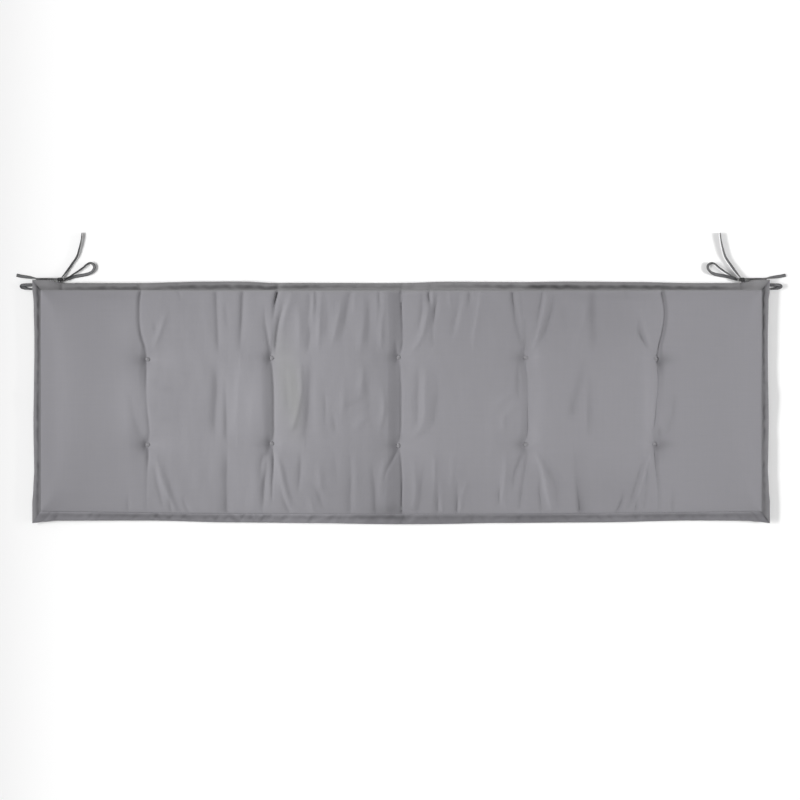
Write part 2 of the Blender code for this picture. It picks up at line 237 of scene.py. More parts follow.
def clothMaterial(name, look):
    # Woven cloth: tone from the weave (with painted shade between the threads), fading and the piece's shade
    # note, which holds painted light and shade; bump from the weave.
    material = bpy.data.materials.new(name)
    material.use_nodes = True
    tree = material.node_tree
    shader = tree.nodes["Principled BSDF"]
    shader.inputs["Roughness"].default_value = look["roughness"]
    shader.inputs["Specular IOR Level"].default_value = look["gloss"]
    shader.inputs["Sheen Weight"].default_value = look["sheen"]
    shader.inputs["Sheen Roughness"].default_value = look["sheenRoughness"]
    if look.get("placeNote"):
        place = noteNode(tree, look["placeNote"]).outputs["Vector"]
    else:
        place = tree.nodes.new("ShaderNodeTexCoord").outputs["Object"]
    weave = placeGroup(tree, weaveGroup, place, {"Pitch": look["pitch"], "Slubs": look["slubs"]})
    fading = placeGroup(tree, fadingGroup, place, {"Amount": look["fading"]})
    tone = mathNode(tree, "MULTIPLY", weave.outputs["Tone"], fading.outputs["Tone"])
    if look.get("shadeNote"):
        tone = mathNode(tree, "MULTIPLY", tone, noteNode(tree, look["shadeNote"]).outputs["Fac"])
    colour = tree.nodes.new("ShaderNodeVectorMath")
    colour.operation = "SCALE"
    colour.inputs[0].default_value = look["colour"]
    if look.get("fadedColour"):
        blend = tree.nodes.new("ShaderNodeMix")
        blend.data_type = "RGBA"
        blend.inputs["A"].default_value = (*look["colour"], 1.0)
        blend.inputs["B"].default_value = (*look["fadedColour"], 1.0)
        tree.links.new(noteNode(tree, "faded").outputs["Fac"], blend.inputs["Factor"])
        tree.links.new(blend.outputs["Result"], colour.inputs[0])
    tree.links.new(tone, colour.inputs["Scale"])
    tree.links.new(colour.outputs["Vector"], shader.inputs["Base Color"])
    bump = tree.nodes.new("ShaderNodeBump")
    bump.inputs["Strength"].default_value = look["bump"]
    bump.inputs["Distance"].default_value = look["threadHeight"]
    tree.links.new(weave.outputs["Height"], bump.inputs["Height"])
    tree.links.new(bump.outputs["Normal"], shader.inputs["Normal"])
    return material


clothLooks = {
    "panelCloth": {"colour": (0.235, 0.231, 0.248), "roughness": 0.82, "gloss": 0.25, "sheen": 0.12,
                   "sheenRoughness": 0.45, "pitch": 0.0007, "slubs": 0.05, "fading": 0.05,
                   "bump": 0.5, "threadHeight": 0.00012, "shadeNote": "shade",
                   "fadedColour": (0.243, 0.243, 0.246)},
    "borderCloth": {"colour": (0.162, 0.160, 0.165), "roughness": 0.85, "gloss": 0.2, "sheen": 0.1,
                    "sheenRoughness": 0.5, "pitch": 0.0007, "slubs": 0.06, "fading": 0.12,
                    "bump": 0.5, "threadHeight": 0.00012, "shadeNote": "shade",
                    "fadedColour": (0.158, 0.1555, 0.167)},
    "tieTape": {"colour": (0.143, 0.144, 0.149), "roughness": 0.8, "gloss": 0.25, "sheen": 0.15,
                "sheenRoughness": 0.4, "pitch": 0.0005, "slubs": 0.08, "fading": 0.15,
                "bump": 0.8, "threadHeight": 0.00012, "placeNote": "lie", "shadeNote": "shade"},
    "tuftYarn": {"colour": (0.215, 0.212, 0.224), "roughness": 0.75, "gloss": 0.3, "sheen": 0.2,
                 "sheenRoughness": 0.4, "pitch": 0.0004, "slubs": 0.1, "fading": 0.1,
                 "bump": 0.8, "threadHeight": 0.0001, "placeNote": "lie"},
}
cloths = {name: clothMaterial(name, look) for name, look in clothLooks.items()}
print("materials made:", len(cloths))

# The view straight down: the size of a pixel, the frame's side and the cushion's middle in it, in pixels.
view = {"pixel": 2.035 * mm, "side": 800, "middleX": 401.1, "middleY": 402.0,
        "planeHeight": 0.012, "lens": 135.0, "sensor": 36.0}


def addCamera():
    data = bpy.data.cameras.new("camera")
    data.lens, data.sensor_width = view["lens"], view["sensor"]
    camera = bpy.data.objects.new("camera", data)
    scene.collection.objects.link(camera)
    away = view["side"] * view["pixel"] * view["lens"] / view["sensor"]
    camera.location = ((view["side"] / 2 - view["middleX"]) * view["pixel"],
                       (view["middleY"] - view["side"] / 2) * view["pixel"], view["planeHeight"] + away)
    data.clip_end = 2.0 * away
    scene.camera = camera


addCamera()

# Tape ties: the same routes as the solids, on the left side; the right side is the mirror image.
tape = {"width": 0.0065, "thickness": 0.0011, "edgeRound": 0.0004, "cup": 0.00025, "stepsBetween": 6,
        "spots": (-1.0, -0.6, -0.2, 0.2, 0.6, 1.0), "edgeShade": 0.26, "edgeFrom": 0.5, "edgeRun": 0.4}
tieRoutes = {   # x, y, z in metres and the tape's roll in degrees
    "tie_root": (
        (-0.7440, 0.2498, 0.0085, 90), (-0.7360, 0.2501, 0.0074, 90), (-0.7270, 0.2502, 0.0056, 90),
        (-0.7170, 0.2500, 0.0044, 90), (-0.7090, 0.2494, 0.0042, 90), (-0.7012, 0.2488, 0.0046, 90),
    ),
    "tie_tail_side": (
        (-0.7001, 0.2516, 0.0046, 90), (-0.7155, 0.2518, 0.0040, 90), (-0.7308, 0.2518, 0.0037, 90),
        (-0.7430, 0.2520, 0.0037, 85), (-0.7525, 0.2533, 0.0032, 55), (-0.7620, 0.2547, 0.0018, 20),
        (-0.7730, 0.2562, 0.0009, 4), (-0.7840, 0.2585, 0.0008, 0),
    ),
    "tie_tail_back": (
        (-0.6915, 0.2538, 0.0046, 90), (-0.6817, 0.2658, 0.0036, 62), (-0.6714, 0.2800, 0.0034, 55),
        (-0.6610, 0.2957, 0.0035, 62), (-0.6557, 0.3126, 0.0037, 70), (-0.6518, 0.3307, 0.0038, 80),
        (-0.6502, 0.3449, 0.0038, 86),
    ),
    "tie_bow": (
        (-0.6879, 0.2478, 0.0046, -90), (-0.6819, 0.2493, 0.0034, -50), (-0.6738, 0.2530, 0.0016, -12),
        (-0.6636, 0.2560, 0.0010, -4), (-0.6494, 0.2584, 0.0010, -4), (-0.6382, 0.2610, 0.0013, -10),
        (-0.6314, 0.2646, 0.0026, -40), (-0.6265, 0.2700, 0.0030, -34), (-0.6252, 0.2764, 0.0028, -24),
        (-0.6288, 0.2817, 0.0032, -42), (-0.6342, 0.2832, 0.0035, -58), (-0.6405, 0.2806, 0.0037, -68),
        (-0.6470, 0.2747, 0.0038, -68), (-0.6584, 0.2664, 0.0042, -68), (-0.6680, 0.2603, 0.0050, -74),
        (-0.6790, 0.2540, 0.0058, -90), (-0.6874, 0.2508, 0.0056, -90),
    ),
    "tie_bow_under": (
        (-0.6982, 0.2453, 0.0040, -90), (-0.7060, 0.2419, 0.0036, -80), (-0.7200, 0.2398, 0.0030, -45),
        (-0.7350, 0.2388, 0.0034, -20), (-0.7517, 0.2385, 0.0040, -8), (-0.7645, 0.2384, 0.0044, -6),
        (-0.7718, 0.2378, 0.0044, -14), (-0.7748, 0.2357, 0.0036, -46), (-0.7728, 0.2334, 0.0026, -30),
        (-0.7668, 0.2321, 0.0021, -16), (-0.7612, 0.2309, 0.0027, -48), (-0.7517, 0.2303, 0.0033, -62),
        (-0.7350, 0.2305, 0.0032, -58), (-0.7180, 0.2328, 0.0030, -45), (-0.7040, 0.2372, 0.0036, -80),
        (-0.6936, 0.2446, 0.0040, -90),
    ),
}
knot = {"centre": (-0.6943, 0.2495, 0.0047), "halfDepth": 0.0036, "halfHeight": 0.0041, "wraps": 3,
        "wrapWidth": 0.0042, "wrapThickness": 0.0011, "lean": 0.42, "apart": 0.0028, "smaller": 0.12,
        "around": 24, "lowest": 0.0003}


def tapeSection():
    # The tape's outline as (across, up) pairs, a little cupped, with rounded edges.
    half, thick, cup = tape["width"] / 2, tape["thickness"] / 2, tape["cup"]
    flat = [(spot * (half - tape["edgeRound"]), cup * (spot ** 2 - 0.5)) for spot in tape["spots"]]
    top = [(across, thick + up) for across, up in flat]
    bottom = [(across, -thick + up) for across, up in reversed(flat)]
    return np.array(top + [(half, cup * 0.5)] + bottom + [(-half, cup * 0.5)])


def sweepTape(name, rows, section, mirror):
    # The section along the rows, turned by each row's roll from lying flat.
    centres = rows[:, :3] * (mirror, 1.0, 1.0)
    along = np.vstack([centres[1:], centres[-1:]]) - np.vstack([centres[:1], centres[:-1]])
    along /= np.linalg.norm(along, axis=1)[:, None]
    level = np.stack([-along[:, 1], along[:, 0], np.zeros(len(along))], axis=1)
    level /= np.linalg.norm(level, axis=1)[:, None]
    raised = np.cross(along, level)
    roll = np.radians(rows[:, 3] * mirror)[:, None]
    across = level * np.cos(roll) + raised * np.sin(roll)
    out = raised * np.cos(roll) - level * np.sin(roll)
    rings = (centres[:, None] + across[:, None] * section[None, :, :1] + out[:, None] * section[None, :, 1:])
    lie = np.zeros_like(rings)
    lie[1:, :, 0] = np.cumsum(np.linalg.norm(np.diff(centres, axis=0), axis=1))[:, None]
    lie[:, :, 1] = section[None, :, 0]
    # Painted shade: the tape darkens towards its edges.
    fromMiddle = np.abs(section[:, 0]) / (tape["width"] / 2)
    nearEdge = np.clip((fromMiddle - tape["edgeFrom"]) / tape["edgeRun"], 0.0, 1.0)
    shade = np.broadcast_to(mixed(1.0, tape["edgeShade"], nearEdge)[None], lie.shape[:2])
    return skinOver(name, rings, cloths["tieTape"], notes={"lie": lie, "shade": shade}), centres


def knotWraps(name, mirror):
    # Turns of tape round the crossing, each an uneven ring that leans its own way.
    half, thick = knot["wrapWidth"] / 2, knot["wrapThickness"] / 2
    section = np.array([(-half, 0.0), (-half * 0.6, thick), (0.0, thick * 1.3), (half * 0.6, thick),
                        (half, 0.0), (half * 0.6, -thick), (0.0, -thick * 0.7), (-half * 0.6, -thick)])
    turn = np.linspace(0.0, fullTurn, knot["around"] + 1)[:-1]
    wraps = []
    for number in range(knot["wraps"]):
        fromMiddle = number - (knot["wraps"] - 1) / 2
        size = 1.0 - knot["smaller"] * abs(fromMiddle)
        x = fromMiddle * knot["apart"] + np.sin(turn) * fromMiddle * knot["lean"] * knot["halfDepth"]
        y = np.cos(turn) * knot["halfDepth"] * size
        z = np.sin(turn) * knot["halfHeight"] * size
        outward = np.stack([np.zeros_like(turn), y, z], axis=1)
        outward /= np.linalg.norm(outward, axis=1)[:, None]
        rings = (np.stack([x, y, z], axis=1) + knot["centre"])[:, None] + outward[:, None] * section[:, 1:]
        rings[:, :, 0] += section[:, 0]
        rings[:, :, 2] = np.maximum(rings[:, :, 2], knot["lowest"])
        lie = np.zeros_like(rings)
        lie[:, :, 0] = (turn * knot["halfHeight"])[:, None]
        lie[:, :, 1] = section[:, 0]
        # Painted shade: the knot's turns take the tape's edge darkening all over.
        notes = {"lie": lie, "shade": np.full(lie.shape[:2], tape["edgeShade"])}
        wraps.append(skinOver(f"{name}_wrap{number + 1}", rings * (mirror, 1.0, 1.0), cloths["tieTape"],
                              True, notes))
    bpy.ops.object.select_all(action="DESELECT")
    for wrap in wraps:
        wrap.select_set(True)
    bpy.context.view_layer.objects.active = wraps[0]
    bpy.ops.object.join()
    wraps[0].name = name
    return wraps[0]


def makeTies():
    for corner, mirror in (("left", 1.0), ("right", -1.0)):
        knotPiece = knotWraps("bowKnot_" + corner, mirror)
        standFor(knotPiece, "tie_knot_" + corner)
        for route, points in tieRoutes.items():
            rows = smoothPath(points, tape["stepsBetween"])
            title = route.replace("tie_", "tape_") + "_" + corner
            piece, centres = sweepTape(title, rows, tapeSection(), mirror)
            standFor(piece, f"{route}_{corner}")
    print("ties made")


makeTies()

# The filled pad.
pad = {
    "halfLength": 0.7333, "backSeam": 0.2279, "frontSeam": -0.2225, "frontBow": 0.0058,
    "seamHeight": 0.0150, "edgeHeight": 0.0156, "lip": 0.0030, "lipRun": 0.0045,
    "crown": 0.0285, "crownRun": 0.036,
    "undersideRun": 0.052, "undersideTop": 0.0138, "dimple": 0.0035, "dimpleRadius": 0.022,
    "stepAcross": 0.0040, "stepAlong": 0.0098, "edgeSteps": (0.0, 0.0016, 0.0038, 0.0074, 0.0130),
    "fineRim": 0.006, "fill": 0.45,
}
filling = {   # the cloth simulation; heldSeam and heldHeight say where the cloth can't move
    "pressure": 4.0, "frames": 20, "mostMove": 0.003, "clothMass": 0.3, "quality": 4, "stiffness": 25.0,
    "bending": 1.5, "heldSeam": 0.0005, "heldHeight": 0.0060,
}
tufts = {
    "spots": {   # column: back and front tuft, in mm
        1: ((-514.8, 86.5), (-514.8, -86.5)), 2: ((-262.5, 89.5), (-262.5, -84.5)),
        3: ((-5.1, 90.6), (-5.1, -88.5)), 4: ((253.3, 90.6), (253.3, -86.5)),
        5: ((517.9, 87.5), (515.8, -85.5))},
    "turnsAt": 0.4, "pitDepth": 0.0115, "steepReach": 0.0095, "gentleReach": 0.036, "alongReach": 0.014,
    "pitFloor": 0.2, "softHold": (0.006, 0.017),
    "shade": {"amount": 0.135, "off": 11.0, "outer": 15.0, "inner": 7.0, "along": 12.0},   # in mm
}
tuftSpots = [(x * mm, y * mm) for pair in tufts["spots"].values() for x, y in pair]


def frontSeamAt(x):
    return pad["frontSeam"] - pad["frontBow"] * (1.0 - (x / pad["halfLength"]) ** 2)


def fromSeams(x, y):
    # Distance in from the end seams and from the long seams.
    ends = np.maximum(pad["halfLength"] - np.abs(x), 0.0)
    sides = np.maximum(np.minimum(pad["backSeam"] - y, y - frontSeamAt(x)), 0.0)
    return ends, sides


def steepSide(tuftX):
    # A pit is steep on its left, and in the last column on its right.
    return 1.0 if tuftX < tufts["turnsAt"] else -1.0


def panelHeight(x, y):
    ends, sides = fromSeams(x, y)
    rise = (1.0 - np.exp(-ends / pad["crownRun"])) * (1.0 - np.exp(-sides / pad["crownRun"]))
    lip = 1.0 - np.exp(-np.minimum(ends, sides) / pad["lipRun"])
    shoulder = pad["edgeHeight"] + pad["lip"] * lip
    height = mixed(shoulder, pad["crown"], rise)
    for tuftX, tuftY in tuftSpots:
        offX = (x - tuftX) * steepSide(tuftX)
        reach = np.where(offX < 0.0, tufts["steepReach"], tufts["gentleReach"])
        away = np.hypot(offX / reach, (y - tuftY) / tufts["alongReach"])
        height = height - tufts["pitDepth"] * np.exp(-np.maximum(away, tufts["pitFloor"]))
    return height


def undersideHeight(x, y):
    ends, sides = fromSeams(x, y)
    inward = np.minimum(np.minimum(ends, sides) / pad["undersideRun"], 1.0)
    height = pad["undersideTop"] * (1.0 - inward) ** 2
    for tuftX, tuftY in tuftSpots:
        away = np.hypot(x - tuftX, y - tuftY)
        height = height + pad["dimple"] * np.exp(-(away / pad["dimpleRadius"]) ** 2)
    return height


def gridLines(length, step):
    # Even lines from 0 to the length, closer together at both ends.
    near = np.array(pad["edgeSteps"])
    inner = length - 2.0 * near[-1]
    middle = near[-1] + np.linspace(0.0, inner, math.ceil(inner / step) + 1)[1:-1]
    return np.concatenate([near, middle, length - near[::-1]])


def padBlank():
    # Top and underside panels on one grid, joined at the rim.
    columns = gridLines(2.0 * pad["halfLength"], pad["stepAcross"]) - pad["halfLength"]
    depth = pad["backSeam"] - pad["frontSeam"]
    rows = gridLines(depth, pad["stepAlong"]) / depth
    bm = bmesh.new()
    bmesh.ops.create_grid(bm, x_segments=len(columns) - 1, y_segments=len(rows) - 1, size=1.0)
    upper = bm.verts[:]
    extruded = bmesh.ops.extrude_face_region(bm, geom=bm.faces[:], use_keep_orig=True)
    lower = [item for item in extruded["geom"] if isinstance(item, bmesh.types.BMVert)]
    for sheet, heightAt in ((upper, panelHeight), (lower, undersideHeight)):
        flat = np.array([vertex.co for vertex in sheet])
        column = np.rint((flat[:, 0] + 1.0) / 2.0 * (len(columns) - 1)).astype(int)
        row = np.rint((flat[:, 1] + 1.0) / 2.0 * (len(rows) - 1)).astype(int)
        x = columns[column]
        y = mixed(frontSeamAt(x), pad["backSeam"], rows[row])
        for vertex, place in zip(sheet, zip(x, y, heightAt(x, y))):
            vertex.co = place
    bmesh.ops.recalc_face_normals(bm, faces=bm.faces[:])
    mesh = bpy.data.meshes.new("cushionPad")
    bm.to_mesh(mesh)
    bm.free()
    return mesh


def meshPoints(mesh):
    points = np.zeros(len(mesh.vertices) * 3)
    mesh.vertices.foreach_get("co", points)
    return points.reshape(-1, 3)


def setPoints(mesh, points):
    mesh.vertices.foreach_set("co", points.ravel())
    mesh.update()


def evaluatedMesh(piece):
    return bpy.data.meshes.new_from_object(piece.evaluated_get(bpy.context.evaluated_depsgraph_get()))


def holdCloth(piece, points):
    # The seams and the cloth that lies on the surface stay still; the hold softens away from each tuft.
    ends, sides = fromSeams(points[:, 0], points[:, 1])
    atSeam = np.minimum(ends, sides) < filling["heldSeam"]
    held = (atSeam | (points[:, 2] < filling["heldHeight"])).astype(float)
    near, far = tufts["softHold"]
    for tuftX, tuftY in tuftSpots:
        away = np.hypot(points[:, 0] - tuftX, points[:, 1] - tuftY)
        held = np.maximum(held, np.clip((far - away) / (far - near), 0.0, 1.0))
    group = piece.vertex_groups.new(name="held")
    for number in np.flatnonzero(held > 0.0):
        group.add([int(number)], float(held[number]), "REPLACE")


def fillWithPressure(piece):
    # The filling swells the cloth between the seams, the tufts and the surface that it lies on.
    before = meshPoints(piece.data)
    holdCloth(piece, before)
    cloth = piece.modifiers.new("filling", "CLOTH")
    cloth.settings.quality = filling["quality"]
    cloth.settings.mass = filling["clothMass"]
    cloth.settings.vertex_group_mass = "held"
    cloth.settings.use_pressure = True
    cloth.settings.uniform_pressure_force = filling["pressure"]
    cloth.settings.effector_weights.gravity = 0.0
    cloth.settings.tension_stiffness = filling["stiffness"]
    cloth.settings.compression_stiffness = filling["stiffness"]
    cloth.settings.bending_stiffness = filling["bending"]
    cloth.collision_settings.use_collision = False
    cloth.point_cache.frame_start, cloth.point_cache.frame_end = 1, filling["frames"]
    for number in range(1, filling["frames"] + 1):
        scene.frame_set(number)
    settled = evaluatedMesh(piece)
    moved = meshPoints(settled) - before
    bpy.data.meshes.remove(settled)
    piece.modifiers.remove(cloth)
    scene.frame_set(1)
    far = np.linalg.norm(moved, axis=1)
    share = filling["mostMove"] * np.tanh(far / filling["mostMove"]) / np.maximum(far, 1e-9)
    setPoints(piece.data, before + moved * share[:, None])
    print("pad filled: moved at most %.1f mm, mean %.2f mm" % (far.max() / mm, far.mean() / mm))


def applyModifiers(piece):
    made = evaluatedMesh(piece)
    piece.modifiers.clear()
    old = piece.data
    piece.data = made
    bpy.data.meshes.remove(old)


# The sewn lines, from the back seam to the front, in mm. A row says where the line runs, how far the cloth
# falls to it, how wide the walls on its left and right are, how deep the slit at its foot is, and how much
# painted shade darkens its steep wall.
channels = (
    {"steep": "left", "curves": (1.5, 2), "rows": (
        (-527, 236, 2.8, 9, 60, 1.9, 0.08), (-531, 212, 2.5, 9, 60, 1.1, 0.08),
        (-531.5, 187, 2.2, 9, 60, 0.7, 0.06), (-531, 163, 2.3, 9, 60, 0.8, 0.05),
        (-527.5, 136, 2.5, 8, 50, 1.3, 0.03), (-521.5, 116, 2.4, 7, 40, 1.4, 0),
        (-518, 100, 2.2, 11, 30, 0.5, 0.02), (-517.5, 84, 1.4, 14, 24, 0.3, 0.01),
        (-517.5, 62, 2.8, 17, 24, 0.9, 0.05), (-517.5, 44, 2.5, 15, 24, 0.8, 0.03),
        (-517.5, 20, 1.6, 13, 22, 0.4, 0.01), (-516, -6, 1.1, 12, 20, 0.5, 0),
        (-513, -36, 1.1, 10, 20, 0.8, 0), (-511, -62, 0.9, 9, 20, 0.6, 0),
        (-514, -84, 1.2, 12, 20, 0.6, 0.02), (-513.5, -112, 1.6, 10, 20, 1.4, 0.04),
        (-515, -138, 0.7, 9, 18, 0.5, 0), (-516, -163, 0.5, 9, 18, 0.3, 0), (-517, -200, 0.4, 9, 18, 0.2, 0),
        (-517, -236, 0.2, 9, 18, 0.1, 0))},
    {"steep": "left", "curves": (1.8, 1.6), "rows": (
        (-258, 160, 0.2, 8, 16, 0, 0), (-262, 108, 1.2, 12, 16, 0.4, 0), (-264, 89, 1.4, 20, 16, 0.3, 0.03),
        (-261.5, 66, 4.2, 24, 34, 0.9, 0.06), (-259.5, 36, 5.2, 25, 36, 1, 0.07),
        (-258.5, 4, 5.4, 25, 36, 1.1, 0.08), (-258.5, -36, 5.2, 24, 36, 1.1, 0.09),
        (-258.5, -64, 4.2, 22, 34, 1, 0.08), (-261.5, -88, 1.6, 20, 20, 0.4, 0.05),
        (-259.5, -112, 2.8, 10, 26, 1.4, 0.05), (-259.5, -138, 2.3, 8, 26, 1.2, 0.03),
        (-261, -163, 1.8, 8, 20, 0.9, 0.01), (-261.5, -189, 1, 8, 16, 0.6, 0),
        (-262, -206, 0.2, 8, 14, 0, 0))},
    {"steep": "left", "curves": (1.15, 2), "rows": (
        (0, 236, 7.6, 28, 85, 2.4, 0.12), (0, 212, 7.6, 28, 85, 2.2, 0.1), (1, 180, 7.4, 28, 85, 1.7, 0.09),
        (2.5, 150, 7, 28, 85, 1.2, 0.09), (3, 130, 6.4, 28, 80, 1, 0.08), (1, 108, 4.4, 26, 70, 1.2, 0.06),
        (-4, 89, 1.8, 24, 50, 0.3, 0.04), (-1, 66, 5.6, 26, 70, 0.4, 0.08), (0, 34, 7.6, 27, 80, 0.6, 0.1),
        (0, -10, 7.8, 27, 80, 0.8, 0.11), (0, -45, 7.4, 27, 80, 0.8, 0.12),
        (-1, -66, 5.6, 26, 70, 0.8, 0.12), (-5, -88, 1.8, 24, 50, 0.4, 0.06),
        (-1, -112, 5.2, 26, 80, 1.4, 0.05), (0.5, -138, 6, 28, 85, 1.6, 0.05),
        (1.5, -163, 6.4, 30, 85, 1.9, 0.06), (1, -200, 6.6, 32, 85, 2.2, 0.08),
        (1, -236, 6.8, 34, 85, 2.6, 0.12))},
    {"steep": "left", "curves": (1.8, 1.2), "rows": (
        (250, 108, 1.2, 10, 20, 0.2, 0.02), (252, 89, 1.4, 20, 20, 0.1, 0.05),
        (255, 66, 4.4, 22, 34, 0.5, 0.07), (257, 36, 4.8, 22, 34, 0.5, 0.05),
        (257.5, 4, 4.4, 18, 34, 0.6, 0.02), (257.5, -30, 4.6, 16, 34, 0.8, 0.03),
        (257, -62, 4.6, 18, 34, 0.9, 0.06), (252, -88, 1.4, 20, 20, 0.2, 0.05),
        (252, -106, 0.3, 10, 14, 0, 0))},
    {"steep": "right", "curves": (2, 1.5), "rows": (
        (527, 236, 3, 50, 9, 2.2, 0.24), (531.5, 212, 2.9, 50, 9, 1.6, 0.22),
        (534.5, 187, 2.7, 50, 9, 1.1, 0.17), (533.5, 163, 2.9, 50, 9, 1.2, 0.17),
        (529, 136, 3.2, 40, 9, 1.4, 0.17), (524, 116, 3.4, 30, 9, 1.4, 0.16),
        (521.5, 100, 3, 24, 11, 0.8, 0.14), (521, 84, 2, 20, 14, 0.4, 0.08),
        (521, 62, 3.6, 18, 16, 0.7, 0.1), (522, 44, 3, 16, 15, 0.7, 0.05), (521, 20, 2.4, 14, 13, 0.6, 0.02),
        (518, -6, 2.2, 13, 12, 0.6, 0.01), (515, -36, 2.2, 13, 10, 0.7, 0.01),
        (511.5, -62, 2, 13, 9, 0.6, 0.02), (513.5, -84, 1.8, 13, 12, 0.4, 0.03),
        (515, -112, 2.4, 14, 11, 1.1, 0.1), (517, -138, 1.8, 12, 9, 0.9, 0.06),
        (520, -163, 1.5, 12, 9, 0.8, 0.05), (521.5, -189, 1.1, 12, 9, 0.6, 0.03),
        (522.5, -236, 0.3, 12, 9, 0.1, 0))},
)
